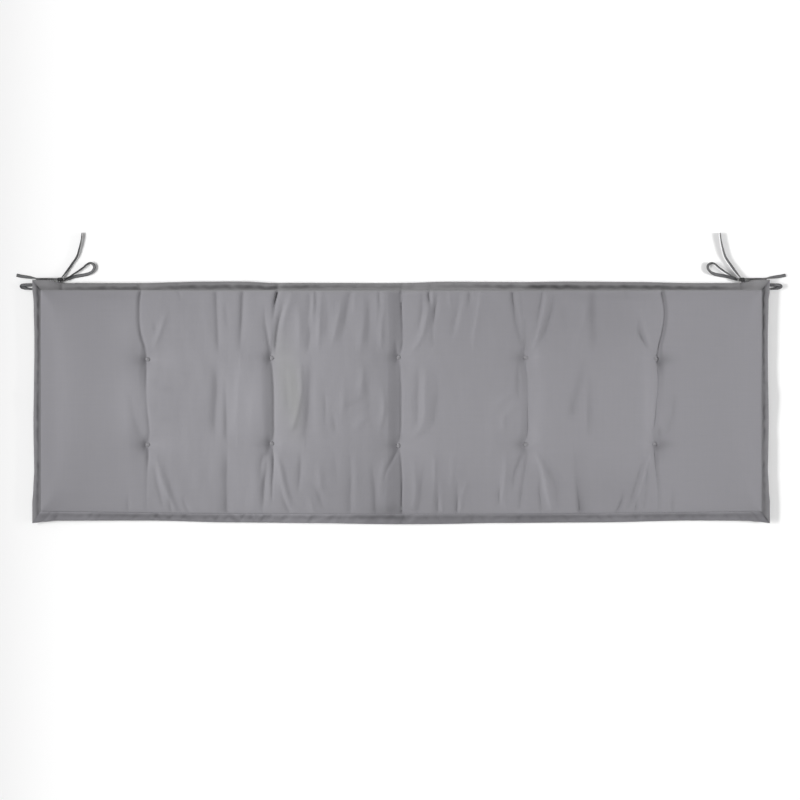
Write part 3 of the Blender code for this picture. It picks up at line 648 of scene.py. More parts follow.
# The folds of the top panel, in mm. Each starts with the widths of its left and right walls, how sharp it
# is (from 1 for a pulled line to 2 for a round one) and, for some, how many times stronger its painted shade
# and light are. Then come its points: x, y and depth, below 0 for a ridge.
folds = (
    # beside the first column: a stroke above the front tuft, a pleat at the back and a fan to the front
    ((7, 9, 1.7), (-550, 12, 0.2), (-547, -10, 0.4), (-541, -36, 0.5), (-533, -62, 0.6), (-528, -70, 0.3)),
    ((6, 5, 1.7), (-477, 182, -0.3), (-484, 163, -0.8), (-493, 136, -1.1), (-502, 116, -0.5)),
    ((4, 5, 1.7), (-502, 158, 0.2), (-500, 150, 0.7), (-500, 143, 0.2)),
    ((6, 8, 1.6), (-499, -112, -0.3), (-494, -128, -0.8), (-487, -158, -1.1), (-478, -180, -1),
     (-470, -200, -0.6), (-464, -215, -0.2)),
    ((5, 5, 1.5), (-501, -136, 0.4), (-497, -160, 0.8), (-491, -185, 0.9), (-486, -207, 0.6)),
    ((5, 8, 1.6), (-482, -132, 0.2), (-471, -165, 0.6), (-464, -190, 0.8), (-455, -212, 0.7),
     (-451, -222, 0.3)),
    ((4, 4, 1.4), (-473, -199, 0.4), (-470, -212, 0.9), (-467, -226, 0.6)),
    ((4, 5, 1.4), (-444, -195, 0.3), (-441, -208, 0.9), (-434, -222, 0.8)),
    ((4, 4, 1.5), (-556, -195, 0.3), (-556, -212, 0.7), (-556, -225, 0.5)),
    # the plain pleats between the first two columns
    ((5, 7, 1.4), (-378, 232, 1.7), (-376, 190, 1.5), (-374, 150, 1.4), (-373, 125, 1.3), (-372, 108, 0.4)),
    ((5, 7, 1.3), (-323, 232, 2.2), (-324, 205, 2.2), (-325, 163, 2.1), (-327, 136, 1.3), (-328, 116, 0.6),
     (-329, 104, 0.2)),
    ((5, 7, 1.7), (-358, 195, 0.3), (-357, 180, 0.6), (-354, 158, 0.4)),
    ((4, 4, 1.4), (-456, 232, 1), (-453, 222, 0.7), (-449, 212, 0.3)),
    ((9, 12, 1.6), (-377, 75, 0.3), (-376, 55, 1.3), (-375, 24, 1.9), (-377, -6, 2), (-379, -37, 1.8),
     (-380, -63, 0.5)),
    ((5, 9, 1.4), (-360, 50, 0.2), (-358, 24, 0.8), (-357, -6, 1.3), (-356, -36, 1.7), (-356, -62, 1.3),
     (-356, -76, 0.3)),
    ((9, 26, 1.8), (-329, 70, -0.4), (-330, 40, -1), (-331, 0, -1), (-334, -40, -0.8), (-336, -65, -0.3)),
    ((9, 12, 1.2), (-356, -95, 0.3), (-355, -114, 1), (-355, -138, 2), (-356, -163, 1.9), (-356, -189, 2.3),
     (-356, -212, 2.9), (-355, -228, 2.5)),
    ((12, 12, 1.9), (-305, -135, -0.2), (-300, -160, -0.7), (-298, -190, -0.6), (-297, -215, -0.2)),
    # second column: a short deep line at the back, a V, and a fan to the front
    ((3.6, 3, 1.4, 1.5), (-251, 234, 4.6), (-254, 218, 4.4), (-257, 205, 3.4), (-259, 190, 1.6),
     (-261, 172, 0.5)),
    ((5, 5, 1.3), (-279, 190, 0.3), (-278, 172, 0.9), (-277, 158, 1.4), (-273, 136, 1.8), (-270, 116, 1.8),
     (-267, 100, 1.3)),
    ((4, 6, 1.3, 1.3), (-241, 203, 0.4), (-244, 187, 1.2), (-250, 163, 2.2), (-254.5, 136, 2.9),
     (-256.5, 116, 2.6), (-258, 104, 1.2)),
    ((7, 9, 1.7), (-225, 222, -0.4), (-228, 205, -1.2), (-235, 187, -1.7), (-242, 163, -1.3),
     (-246, 140, -0.5)),
    ((5, 5, 1.3), (-270, -103, 1.6), (-281, -112, 1.3), (-285, -124, 1), (-286, -138, 0.8),
     (-287, -150, 0.3)),
    ((5, 6, 1.3), (-274, -125, 0.6), (-275, -138, 0.9), (-278, -158, 2.1), (-280, -180, 2.2),
     (-281, -200, 1.6), (-283, -215, 0.7), (-283, -230, 0.5)),
    ((7, 6, 1.6), (-252, -104, -0.4), (-249, -125, -1.2), (-244, -150, -1.1), (-240, -165, -1),
     (-234, -190, -0.9), (-228, -212, -0.5)),
    ((5, 5, 1.3), (-247, -172, 0.3), (-243, -188, 0.9), (-237, -205, 1.5), (-231, -218, 1.6),
     (-226, -229, 0.8)),
    ((6, 8, 1.6), (-243, -120, 0.3), (-236, -140, 0.7), (-232, -163, 0.8), (-226, -186, 0.8),
     (-219, -205, 0.5)),
    ((5, 6, 1.4), (-206, -108, 0.4), (-205, -120, 1), (-206, -140, 1.5), (-208, -165, 1), (-211, -182, 0.3)),
    # the soft pleats between the second and the middle column
    ((8, 8, 1.8), (-236, 66, 0.2), (-234, 40, 0.7), (-232, 10, 0.8), (-232, -10, 0.4)),
    ((8, 5, 1.8), (-206, 78, -0.4), (-205, 55, -1), (-204, 24, -1.1), (-210, -10, -0.9), (-217, -37, -1.2),
     (-222, -52, -0.5)),
    ((8, 16, 1.5), (-187, 80, 0.4), (-186, 55, 1.5), (-187, 24, 1.8), (-189, -6, 2.4), (-191, -36, 2.1),
     (-195, -62, 1.4), (-197, -76, 0.4)),
    ((9, 14, 1.9), (-174, 66, -0.3), (-174, 20, -0.6), (-173, -40, -0.6), (-173, -64, -0.2)),
    ((5, 5, 1.7), (-228, -60, 0.2), (-216, -55, 0.7), (-203, -46, 0.4)),
    ((8, 10, 1.8), (-212, 195, -0.3), (-209, 180, -0.8), (-208, 155, -1.2), (-208, 125, -0.8),
     (-210, 108, -0.3)),
    ((6, 6, 1.6), (-187, 215, 0.9), (-188, 187, 0.9), (-190, 163, 0.6), (-186, 140, 1.1), (-189, 116, 1.2),
     (-190, 104, 0.4)),
    ((4, 4, 1.6), (-180, 222, -0.4), (-180, 205, -0.8), (-181, 185, -0.8), (-181, 165, -0.3)),
    ((6, 6, 1.7), (-164, 222, -0.4), (-165, 200, -0.8), (-167, 180, -1.1), (-168, 150, -1.5),
     (-169, 125, -1), (-169, 108, -0.3)),
    ((4, 4, 1.5), (-175, 228, 0.9), (-174, 205, 0.8), (-174, 188, 0.3)),
    ((7, 7, 1.8), (-151, 205, 0.3), (-150, 185, 0.5), (-150, 160, 0.8), (-152, 140, 0.5)),
    ((7, 6, 1.7), (-122, 210, -0.3), (-126, 187, -0.9), (-131, 163, -1.1), (-137, 136, -1),
     (-142, 120, -0.4)),
    ((7, 9, 1.5), (-101, 232, 1.4), (-107, 212, 1.7), (-111, 187, 1.7), (-115, 163, 1.5), (-121, 138, 0.8),
     (-124, 122, 0.2)),
    ((5, 6, 1.7), (-95, 224, -0.4), (-97, 205, -0.6), (-98, 186, -0.4)),
    ((9, 7, 1.8), (-78, 208, -0.2), (-78, 187, -0.5), (-79, 160, -0.8), (-81, 136, -1.2), (-83, 116, -0.7),
     (-83, 104, -0.2)),
    ((6, 7, 1.7), (-67, 212, 0.3), (-66, 187, 1), (-66, 163, 1), (-67, 138, 0.8), (-68, 118, 0.3)),
    ((5, 4, 1.7), (-50, 225, -0.6), (-51, 205, -0.7), (-51, 187, -0.5), (-52, 165, -0.2)),
    ((4, 3, 1.5), (-46, 226, 0.9), (-45, 212, 0.9), (-44, 196, 0.3)),
    ((7, 5, 1.7), (-36, 222, -0.5), (-37, 187, -0.7), (-41, 163, -1.1), (-42, 136, -1.4), (-42, 112, -0.5)),
    ((9, 7, 1.8), (-80, 78, -0.3), (-80, 55, -1.3), (-82, 34, -1.3), (-84, 20, -0.5)),
    ((8, 8, 1.8), (-66, 45, 0.3), (-67, 24, 0.9), (-66, 0, 0.7), (-67, -30, 0.3)),
    ((4, 4, 1.4), (-156, 15, 0.3), (-155, -6, 0.8), (-155, -25, 0.5), (-155, -45, 0.3)),
    ((5, 5, 1.6), (-139, -28, 0.3), (-137, -38, 0.8), (-135, -52, 0.8), (-133, -60, 0.2)),
    ((7, 7, 1.8), (-119, 45, -0.3), (-119, 20, -0.5), (-119, -8, -0.8), (-122, -24, -0.3)),
    ((9, 9, 1.9), (-66, -22, -0.3), (-76, -32, -1), (-88, -44, -1.1), (-97, -52, -0.4)),
    ((6, 6, 1.8), (-116, -10, 0.3), (-100, -4, 0.7), (-82, 4, 0.9), (-70, 10, 0.4)),
    ((8, 6, 1.8), (-40, 30, -0.3), (-37, 0, -1.1), (-37, -18, -1.4), (-41, -37, -1.1), (-44, -55, -0.3)),
    ((9, 5, 1.3), (-104, -105, 0.3), (-103, -138, 0.9), (-103, -163, 1.5), (-104, -189, 1.7),
     (-104, -212, 1.6), (-104, -230, 1.5)),
    ((8, 12, 1.8), (-94, -120, -0.3), (-93, -150, -0.8), (-93, -185, -0.5), (-93, -210, -0.2)),
    ((6, 8, 1.4), (-60, -125, 0.3), (-58, -150, 1), (-55, -175, 2), (-54, -200, 2.3), (-52, -229, 2)),
    ((7, 12, 1.7), (-36, -112, -0.3), (-38, -135, -1.3), (-42, -160, -1.1), (-44, -180, -0.7),
     (-44, -200, -0.2)),
    ((8, 8, 1.8), (-134, -112, 0.2), (-133, -138, 0.7), (-131, -160, 0.3)),
    ((5, 6, 1.6), (-181, -168, 0.3), (-172, -182, 0.8), (-166, -195, 1), (-161, -210, 0.5)),
    ((7, 7, 1.8), (-170, -125, -0.2), (-167, -150, -0.8), (-165, -168, -0.8), (-162, -182, -0.2)),
    ((6, 6, 1.7), (-187, -195, -0.3), (-183, -212, -0.9), (-178, -226, -0.6)),
    # middle column: small pulls at its tufts and a branch to the front
    ((4, 3, 1.3), (-12, 122, 0.3), (-12, 112, 1.1), (-11, 103, 1.2), (-9, 94, 0.8)),
    ((3, 3, 1.3, 1.6), (-8, -96, 1.2), (-13, -104, 1.6), (-20, -118, 1.7), (-29, -134, 1.3),
     (-34, -148, 0.6), (-36, -158, 0.2)),
    # right of it
    ((7, 5, 1.5), (43, 226, 0.7), (42, 212, 1), (41, 187, 1.5), (37, 163, 1), (33, 145, 0.3)),
    ((8, 6, 1.6), (54, 205, -0.6), (52, 187, -1.4), (48, 163, -2.1), (41, 136, -2), (30, 116, -1.8),
     (20, 104, -0.8)),
    ((4, 3, 1.3, 1.5), (57, 232, 2.2), (55, 220, 2.8), (56, 208, 2.5), (58, 196, 0.8)),
    ((6, 4, 1.3), (74, 222, 0.6), (71, 208, 1.5), (68, 190, 2.9), (66, 174, 2.6), (63, 155, 1.3),
     (63, 136, 1.1), (64, 116, 0.5)),
    ((4, 3, 1.6), (64, 224, -0.5), (63, 212, -1.2), (63, 200, -0.5)),
    ((4, 4, 1.6), (97, 222, -0.5), (97, 208, -0.9), (99, 196, -0.3)),
    ((6, 10, 1.6), (130, 226, -0.4), (127, 208, -1.1), (121, 187, -1.5), (117, 163, -1.4), (110, 138, -0.8),
     (106, 122, -0.2)),
    ((6, 4, 1.6), (117, 212, 0.5), (113, 187, 0.8), (107, 163, 1.1), (104, 140, 0.4)),
    ((4, 4, 1.5), (139, 230, 1.5), (138, 212, 1.7), (135, 198, 0.5)),
    ((4, 9, 1.5), (160, 228, -1.2), (158, 212, -1.6), (154, 187, -1.6), (150, 163, -1.7), (146, 136, -1.2),
     (144, 116, -0.4)),
    ((8, 6, 1.7), (33, 75, 0.3), (33, 55, 1.1), (32, 24, 1.2), (31, -6, 1.2), (31, -37, 1), (29, -55, 0.3)),
    ((7, 8, 1.7), (48, 66, -0.4), (47, 45, -1.1), (46, 24, -1.5), (46, -6, -1.7), (45, -30, -1.5),
     (38, -50, -1), (28, -66, -0.4)),
    ((9, 10, 1.7), (70, 60, 0.3), (74, 35, 0.8), (72, 10, 1.3), (69, -15, 1.6), (66, -36, 1.6),
     (59, -52, 0.9), (50, -62, 0.3)),
    ((5, 5, 1.7), (22, -78, 0.3), (38, -68, 0.8), (56, -58, 0.5)),
    ((8, 8, 1.8), (222, 22, -0.3), (210, 10, -0.9), (198, 0, -1.1), (190, -8, -0.4)),
    ((8, 7, 1.7), (232, -6, -0.4), (219, -16, -1.3), (207, -28, -1.4), (205, -46, -1.1), (207, -60, -0.3)),
    ((5, 9, 1.6), (46, -125, 0.2), (43, -150, 0.7), (40, -172, 1.2), (39, -195, 1), (34, -215, 1.2),
     (31, -228, 1)),
    ((6, 6, 1.7), (24, -120, -0.4), (26, -145, -0.8), (27, -170, -1.2), (26, -192, -1.2), (23, -212, -0.7)),
    ((5, 5, 1.7), (66, -112, -0.4), (66, -130, -1.2), (66, -148, -1), (65, -175, -0.4), (62, -205, -0.4)),
    ((6, 4, 1.5), (74, -160, 0.4), (73, -185, 1.3), (73, -212, 1.6), (73, -228, 1.3)),
    ((4, 5, 1.7), (80, -190, -0.3), (80, -212, -1), (82, -226, -0.5)),
    ((6, 6, 1.8), (104, -105, -0.3), (103, -130, -0.8), (101, -155, -0.9), (100, -172, -0.3)),
    ((6, 4, 1.4), (114, -165, 0.4), (113, -189, 1.4), (113, -212, 2.1), (112, -230, 1.9)),
    ((5, 5, 1.7), (133, -160, -0.4), (127, -178, -0.9), (121, -195, -0.9), (119, -212, -1.3),
     (118, -226, -0.6)),
    ((6, 8, 1.6), (209, -112, -0.6), (209, -138, -1.9), (207, -163, -2.1), (206, -189, -1.8),
     (208, -208, -1.2), (211, -218, -0.4)),
    ((6, 3, 1.6), (199, -170, 0.4), (198, -190, 1.3), (197, -206, 1.1)),
    # fourth column: the V at the back and the fan to the front
    ((4, 6, 1.3), (224, 234, 3), (225, 212, 3), (228, 187, 2.2), (232, 163, 1.7), (238, 138, 1.6),
     (244, 118, 1.2)),
    ((4, 4, 1.5), (250, 165, 0.3), (250, 140, 1), (250, 120, 1.6), (250, 106, 1.4)),
    ((5, 6, 1.4, 1.3), (295, 230, -1.6), (293, 212, -2.2), (287, 180, -2.7), (282, 160, -2.7),
     (275, 136, -2.4), (267, 112, -1.8), (262, 102, -0.8)),
    ((5, 4, 1.5), (234, 226, -0.6), (236, 205, -1.2), (239, 185, -1.1), (244, 163, -0.7), (248, 145, -0.3)),
    ((5, 4, 1.4), (286, 234, 1.7), (284, 212, 1.1), (279, 187, 0.7), (274, 163, 0.3)),
    ((4, 5, 1.4), (310, 215, 1.1), (304, 187, 2.1), (297, 163, 2.1), (289, 138, 1.8), (281, 120, 0.5)),
    ((5, 5, 1.6), (237, 76, 0.6), (236, 50, 1.5), (237, 25, 1.2), (240, 5, 0.3)),
    ((4, 5, 1.3), (251, -97, 1.3), (246, -106, 1.9), (241, -115, 2.4), (232, -138, 2), (228, -160, 1.4),
     (227, -175, 0.4)),
    ((4, 5, 1.3), (254, -98, 1.2), (253, -112, 1.8), (251, -130, 1.9), (248, -150, 1.6), (245, -170, 1.6),
     (242, -190, 2), (240, -214, 1)),
    ((6.5, 8, 1.6, 1.5), (270, -100, -0.6), (276, -114, -1.7), (284, -135, -2.9), (289, -155, -3.3),
     (293, -178, -3.4), (298, -200, -3.2), (301, -214, -2)),
    ((4, 3, 1.3), (278, -165, 0.2), (279, -180, 0.9), (281, -197, 1.6), (283, -215, 1.5), (285, -229, 0.9)),
    ((6, 9, 1.5), (290, -118, 0.8), (300, -140, 1.8), (310, -158, 2), (315, -172, 1.8), (316, -195, 1.4),
     (319, -215, 0.7)),
    # between the last two columns
    ((7, 7, 1.8), (330, 200, 0.2), (331, 185, 0.8), (333, 160, 0.7), (334, 140, 0.2)),
    ((7, 7, 1.7, 1.6), (387, 230, 1.3), (386, 212, 1.7), (386, 187, 2.3), (386, 163, 1.8), (388, 136, 1.4),
     (388, 112, 0.5)),
    ((9, 6, 1.8), (372, 205, -0.3), (371, 187, -1.2), (369, 160, -1.1), (360, 136, -0.9), (357, 120, -0.2)),
    ((3, 3, 1.4), (450, 232, 1.2), (454, 222, 0.9), (458, 214, 0.3)),
    ((4, 4, 1.4), (478, 162, 0.6), (481, 142, 2.4), (488, 128, 2.6), (496, 113, 1.2)),
    ((5, 5, 1.6), (478, 200, -0.5), (484, 180, -1), (490, 160, -1.5), (497, 136, -1.8), (502, 118, -1.4),
     (509, 105, -0.6)),
    ((8, 8, 1.6, 1.3), (369, 76, 0.5), (363, 50, 1.2), (357, 25, 1.3), (350, 0, 1.7), (347, -16, 1.9),
     (345, -28, 0.7)),
    ((6, 6, 1.8), (373, 60, -0.3), (373, 24, -0.9), (373, -10, -0.9), (373, -40, -0.8), (372, -55, -0.2)),
    ((6, 6, 1.7), (382, 45, 0.4), (382, 20, 1.1), (382, -10, 1.6), (382, -40, 1.6), (382, -60, 0.7)),
    ((4, 12, 1.3, 1.3), (353, -105, 0.4), (354, -118, 0.9), (354, -140, 1), (356, -163, 1.8),
     (358, -189, 2.8), (360, -212, 3.8), (362, -230, 3.2)),
    # beside the last column: the first one's fan, the other way round
    ((8, 6, 1.6), (551, 14, 0.4), (550, -6, 1), (547, -30, 1.1), (540, -52, 1), (534, -64, 0.5)),
    ((8, 5, 1.7), (515, 70, -0.3), (512, 30, -0.9), (509, -6, -1.2), (507, -40, -1.2), (506, -62, -0.5)),
    ((4, 4, 1.3), (502, -122, 0.5), (499, -140, 0.9), (496, -163, 1.1), (493, -189, 1.3), (490, -212, 0.9)),
    ((5, 4, 1.5), (501, -112, -0.6), (495, -130, -1.8), (490, -150, -2.2), (484, -172, -2.1),
     (478, -190, -1.6), (474, -205, -0.8)),
    ((5, 4, 1.4), (489, -116, 0.5), (482, -138, 1.1), (476, -160, 1.1), (468, -188, 1.4), (461, -212, 1.1)),
    ((3, 3, 1.4), (477, -196, 0.7), (475, -212, 1.7), (473, -226, 1.2)),
    ((3, 4, 1.4), (449, -182, 0.6), (447, -195, 1.5), (443, -208, 2.2), (436, -224, 1.8)),
    ((4, 4, 1.5), (550, -180, 0.3), (549, -198, 1), (548, -212, 1.3), (548, -226, 0.9)),
)
# Short tucks that each tuft draws towards itself: the turn of each, its reach in mm and its depth.
tuftTucks = ((174, 30, 1.1), (188, 24, 0.9), (212, 18, 1.0), (150, 18, 0.9), (240, 16, 0.9), (122, 14, 0.7),
             (-8, 14, 0.4), (-40, 12, 0.4))
# The slit and groove shade values darken the creases as painted shade, and faded lightens the ridges as
# painted light.
crease = {
    "slitWidth": 2.0, "slitShade": 0.055, "wallFull": 2.2,
    "strength": 1.5, "nudge": 1.6, "reach": 3.2, "grooveShade": 0.05, "faded": 0.03, "most": 3.0,
    "tuckStart": 4.0, "tuckWidth": 2.6,
}


def channelParts(x, y):
    # Depth of the sewn lines at points in mm, and the painted shade on their steep walls and in their slits.
    depth, paintedShading = np.zeros_like(x), np.zeros_like(x)
    for channel in channels:
        rows = smoothPath(channel["rows"], 3)[::-1]
        lineX, fall, left, right, slit, wallShade = (np.interp(y, rows[:, 1], rows[:, k])
                                                    for k in (0, 2, 3, 4, 5, 6))
        here = (y > rows[0, 1]) & (y < rows[-1, 1])
        off = x - lineX
        reach, curve = np.where(off < 0.0, left, right), np.where(off < 0.0, *channel["curves"])
        wall = np.clip(1.0 - np.abs(off) / reach, 0.0, 1.0)
        inSlit = slit * np.exp(-(off / crease["slitWidth"]) ** 2)
        depth += np.where(here, fall * wall ** curve + inSlit, 0.0)
        steep = off < 0.0 if channel["steep"] == "left" else off > 0.0
        # Painted shade on the steep wall and in the slit at the line's foot.
        onWall = np.where(steep, wallShade * np.clip(wall * crease["wallFull"], 0.0, 1.0), 0.0)
        paintedShading += np.where(here, onWall + crease["slitShade"] * inSlit, 0.0)
    return depth, paintedShading


def foldParts(x, y):
    # The same for the folds: each counts once, where it is strongest.
    depth, paintedShading = np.zeros_like(x), np.zeros_like(x)
    for (left, right, sharp, *shadeGain), *points in folds:
        path = smoothPath(points, 3) + (crease["nudge"], 0.0, 0.0)
        reach = crease["reach"] * max(left, right)
        near = ((x > path[:, 0].min() - reach) & (x < path[:, 0].max() + reach)
                & (y > path[:, 1].min() - reach) & (y < path[:, 1].max() + reach))
        nearX, nearY = x[near], y[near]
        deepest = np.zeros_like(nearX)
        for (x0, y0, depth0), (x1, y1, depth1) in zip(path, path[1:]):
            runX, runY = x1 - x0, y1 - y0
            part = np.clip(((nearX - x0) * runX + (nearY - y0) * runY) / (runX ** 2 + runY ** 2), 0.0, 1.0)
            offX, offY = nearX - x0 - part * runX, nearY - y0 - part * runY
            width = np.where(offX < 0.0, left, right)
            here = mixed(depth0, depth1, part) * np.exp(-(np.hypot(offX, offY) / width) ** sharp)
            deepest = np.where(np.abs(here) > np.abs(deepest), here, deepest)
        depth[near] += crease["strength"] * deepest
        # Painted shade in the grooves, painted light on the ridges.
        amount = np.where(deepest > 0.0, crease["grooveShade"], crease["faded"]) * (shadeGain[0] if shadeGain else 1.0)
        paintedShading[near] += amount * np.clip(deepest, -crease["most"], crease["most"])
    return depth, paintedShading


def tuckParts(x, y):
    # Short tucks that fan out from each tuft, and painted shade on its steep side.
    total, paintedShading = np.zeros_like(x), np.zeros_like(x)
    dark = tufts["shade"]
    for tuftX, tuftY in tuftSpots:
        offX, offY = (x - tuftX / mm) * steepSide(tuftX), y - tuftY / mm
        for turn, reach, depth in tuftTucks:
            angle = math.radians(turn)
            along = offX * math.cos(angle) + offY * math.sin(angle)
            beside = -offX * math.sin(angle) + offY * math.cos(angle)
            start = np.clip(along / crease["tuckStart"], 0.0, 1.0)
            fading = np.exp(-(np.maximum(along, 0.0) / reach) ** 2)
            total += depth * start * fading * np.exp(-(beside / crease["tuckWidth"]) ** 2)
        outside, inside = np.minimum(offX + dark["off"], 0.0), np.maximum(offX + dark["off"], 0.0)
        paintedShading += dark["amount"] * np.exp(-(outside / dark["outer"]) ** 2 - (inside / dark["inner"]) ** 2
                                        - (offY / dark["along"]) ** 2)
    return total, paintedShading


swell = {   # slight unevenness of the filled cloth, in mm
    "waves": (   # wave length, height, lean, how wide its patches are and where it starts
        (23, 0.05, 0.10, 310, 0.4), (31, 0.10, -0.16, 260, 1.9), (17, 0.03, 0.05, 190, 3.1),
        (44, 0.20, 0.22, 410, 4.4), (61, 0.26, -0.05, 520, 2.6)),
    "patchDepth": 0.6, "sway": 1.2, "swayLength": 7.0, "endShare": 0.25, "endFrom": 530.0, "endRun": 12.0,
}


def unevenDepth(x, y):
    total = np.zeros_like(x)
    for length, height, lean, patch, start in swell["waves"]:
        here = 0.5 + 0.5 * waveAt(x, patch, start) * waveAt(y, swell["patchDepth"] * patch, 2.0 * start)
        sway = swell["sway"] * waveAt(y, swell["swayLength"] * length, start)
        total += height * here * waveAt(x + lean * y, length, sway + start)
    inMiddle = 1.0 / (1.0 + np.exp((np.abs(x) - swell["endFrom"]) / swell["endRun"]))
    return total * mixed(swell["endShare"], 1.0, inMiddle)


# Soft patches where the cloth is lighter or darker: x, y, half width and half height in mm, and how much.
# Partly the cloth's own uneven tone, partly painted shade in and beside the tuft pits and along the seams,
# and painted light beside the sewn lines.
patches = (
    (-350, 20, 150, 260, 0.05), (-60, -190, 90, 110, -0.08), (-70, 60, 60, 120, -0.03),
    (-501, 40, 8, 12, -0.05), (-478, 25, 16, 8, -0.05), (-500, -10, 8, 14, -0.04),
    (-476, -35, 20, 10, -0.03), (-718, 0, 20, 250, -0.06), (-30, -222, 35, 14, -0.14),
    (-560, 0, 90, 110, 0.07), (-330, 0, 70, 110, 0.06), (-160, 60, 90, 130, 0.045),
    (-690, 30, 40, 130, 0.04), (-165, -200, 50, 50, -0.04), (60, -200, 100, 60, -0.05),
    (-556, 0, 22, 130, 0.08), (-300, 0, 20, 110, 0.08), (-556, 150, 26, 40, 0.05), (-521, 96, 7, 9, 0.12),
    (-531, 77, 12, 6, -0.05), (500, 0, 11, 110, 0.08), (526, 72, 7, 10, -0.12), (524, -62, 5, 11, -0.14),
    (273, 96, 10, 24, 0.07), (271, -62, 10, 25, 0.07), (-4, -73, 7, 7, -0.12), (440, 170, 60, 60, -0.05),
    (440, -190, 60, 60, -0.05), (430, 215, 130, 10, -0.05), (-590, 215, 60, 9, -0.05),
    (523, 80, 4.5, 8, -0.24), (531, 82, 9, 10, -0.08), (544, 86, 16, 8, -0.06), (519, -91, 4.5, 6, -0.22),
    (526, -92, 8, 9, -0.08), (540, -86, 14, 8, -0.06), (528, -108, 10, 12, -0.05), (278, 0, 15, 80, 0.05),
    (268, -110, 12, 20, 0.04), (110, 190, 190, 110, -0.04), (320, 190, 130, 110, -0.06),
    (330, -200, 120, 100, -0.05), (90, -200, 130, 90, -0.05), (-700, -190, 90, 110, -0.03),
    (700, -190, 90, 110, -0.02),
)
# Patches faded to a more neutral grey.
fadedPatches = ((0, 229, 900, 5, 0.8), (-232, 45, 22, 75, 0.8), (-214, -5, 12, 60, 0.7),
                (-250, 110, 12, 45, 0.25))
nearSeams = {   # how much painted shade darkens the cloth beside the seams, and how the folds fade out there
    "seamShadeBack": 0.02, "seamShadeFront": 0.06, "backFrom": 200.0, "seamShadeRun": 0.005, "foldsFrom": -0.001,
    "foldsRun": 0.008, "rim": 0.0002}


def spread(x, y, rows):
    # Sum of soft round patches.
    total = np.zeros_like(x)
    for middleX, middleY, halfWidth, halfHeight, amount in rows:
        total += amount * np.exp(-((x - middleX) / halfWidth) ** 2 - ((y - middleY) / halfHeight) ** 2)
    return total


def layFolds(piece):
    # Presses the lines, folds and tucks into the top panel and notes how light each point of it is.
    points = meshPoints(piece.data)
    inward = np.minimum(*fromSeams(points[:, 0], points[:, 1]))
    top = (points[:, 2] > mixed(pad["undersideTop"], pad["edgeHeight"], 0.5)) & (inward > nearSeams["rim"])
    x, y = points[:, 0] / mm, points[:, 1] / mm
    # Painted shade and light from the lines, folds and tuft pits come with their depths.
    depths, paintedShadings = zip(channelParts(x, y), foldParts(x, y), tuckParts(x, y))
    reached = np.clip((inward - nearSeams["foldsFrom"]) / nearSeams["foldsRun"], 0.0, 1.0)
    points[:, 2] -= np.where(top, (sum(depths) + unevenDepth(x, y)) * reached, 0.0) * mm
    setPoints(piece.data, points)
    # Painted shade beside the seams, with painted light and shade from the patches, lines, folds and tuft
    # pits.
    paintedSeamShade = np.where(y > nearSeams["backFrom"], nearSeams["seamShadeBack"], nearSeams["seamShadeFront"])
    paintedSeamShade = paintedSeamShade * np.exp(-inward / nearSeams["seamShadeRun"])
    addNote(piece.data, "shade", (1.0 + spread(x, y, patches)) * (1.0 - paintedSeamShade) * (1.0 - sum(paintedShadings)))
    addNote(piece.data, "faded", np.clip(spread(x, y, fadedPatches), 0.0, 1.0))


def thinUnderside(piece):
    # The underside hardly shows, so it keeps a quarter of its faces.
    bm = bmesh.new()
    bm.from_mesh(piece.data)
    below = [vertex for vertex in bm.verts if vertex.co.z < pad["undersideTop"]
             and min(fromSeams(vertex.co.x, vertex.co.y)) > pad["fineRim"]]
    bmesh.ops.unsubdivide(bm, verts=below, iterations=2)
    bm.to_mesh(piece.data)
    bm.free()


def makePad():
    piece = addObject("cushionPad", padBlank(), cloths["panelCloth"])
    fillWithPressure(piece)
    finer = piece.modifiers.new("finer", "SUBSURF")
    finer.levels = finer.render_levels = 1
    finer.boundary_smooth = "PRESERVE_CORNERS"
    applyModifiers(piece)
    layFolds(piece)
    thinUnderside(piece)
    piece.data.shade_smooth()
    standFor(piece, "cushion_pad")
    print("pad made:", len(piece.data.polygons), "faces")
    return piece


cushion = makePad()

# The sewn border. Lengths are in metres; widths across the strip are shares, 0 at the seam and 1 outside.
border = {
    "cornerX": 0.7510, "backCornerY": 0.2489, "frontCornerY": -0.2466, "thickness": 0.0022, "step": 0.0028,
    "across": (*np.linspace(0.0, 0.9, 13), 0.955, 0.985, 1.0), "roundFrom": 0.86,
    "droop": 0.0060, "droopCurve": 1.3, "flutter": 0.0009, "flutterLengths": (0.173, 0.107),
    "dip": 0.0034, "dipWidth": 0.21, "roll": 0.0012, "rollFrom": 0.4, "mitreDip": 0.0022,
    "mitreWidth": 0.0046, "mitreOut": 0.35, "mitreFades": 0.2, "innerThin": 0.8, "innerRun": 3.0,
    "bandShade": 0.42, "outerShade": 0.13, "innerReach": 0.17, "notchShade": 0.09, "mitreShade": 0.52,
    "rippleShade": 0.08,
}
wandering = {   # how the groove wanders and changes depth: wave lengths and where they start
    "waves": ((0.037, 0.3), (0.059, 2.2), (0.023, 4.1)), "wander": 0.025, "change": 0.10, "shift": 17}
ripple = {   # wave length, start and share of each ripple, and how they slant and come and go
    "height": 0.0013, "waves": ((0.031, 0.4, 0.5), (0.047, 2.1, 0.6), (0.0193, 4.0, 0.35)),
    "slant": {"back": 0.25, "front": -0.75, "left": 0.5, "right": 0.5}, "slantTurns": -0.3,
    "patches": ((0.41, 0.7), (0.277, 2.0)), "least": 0.55}
strokes = {   # fine strokes across a side, in mm, each a little out of step with the last
    "count": 62, "first": -728.0, "apart": 23.6, "sway": 5.0, "swayTurn": 2.3, "lean": 14.0, "width": 3.6,
    "curve": 1.5, "depth": 0.65, "change": 0.5, "changeTurn": 1.7, "changeStart": 0.6}
notchShape = {"curve": 1.3, "ends": 0.7}
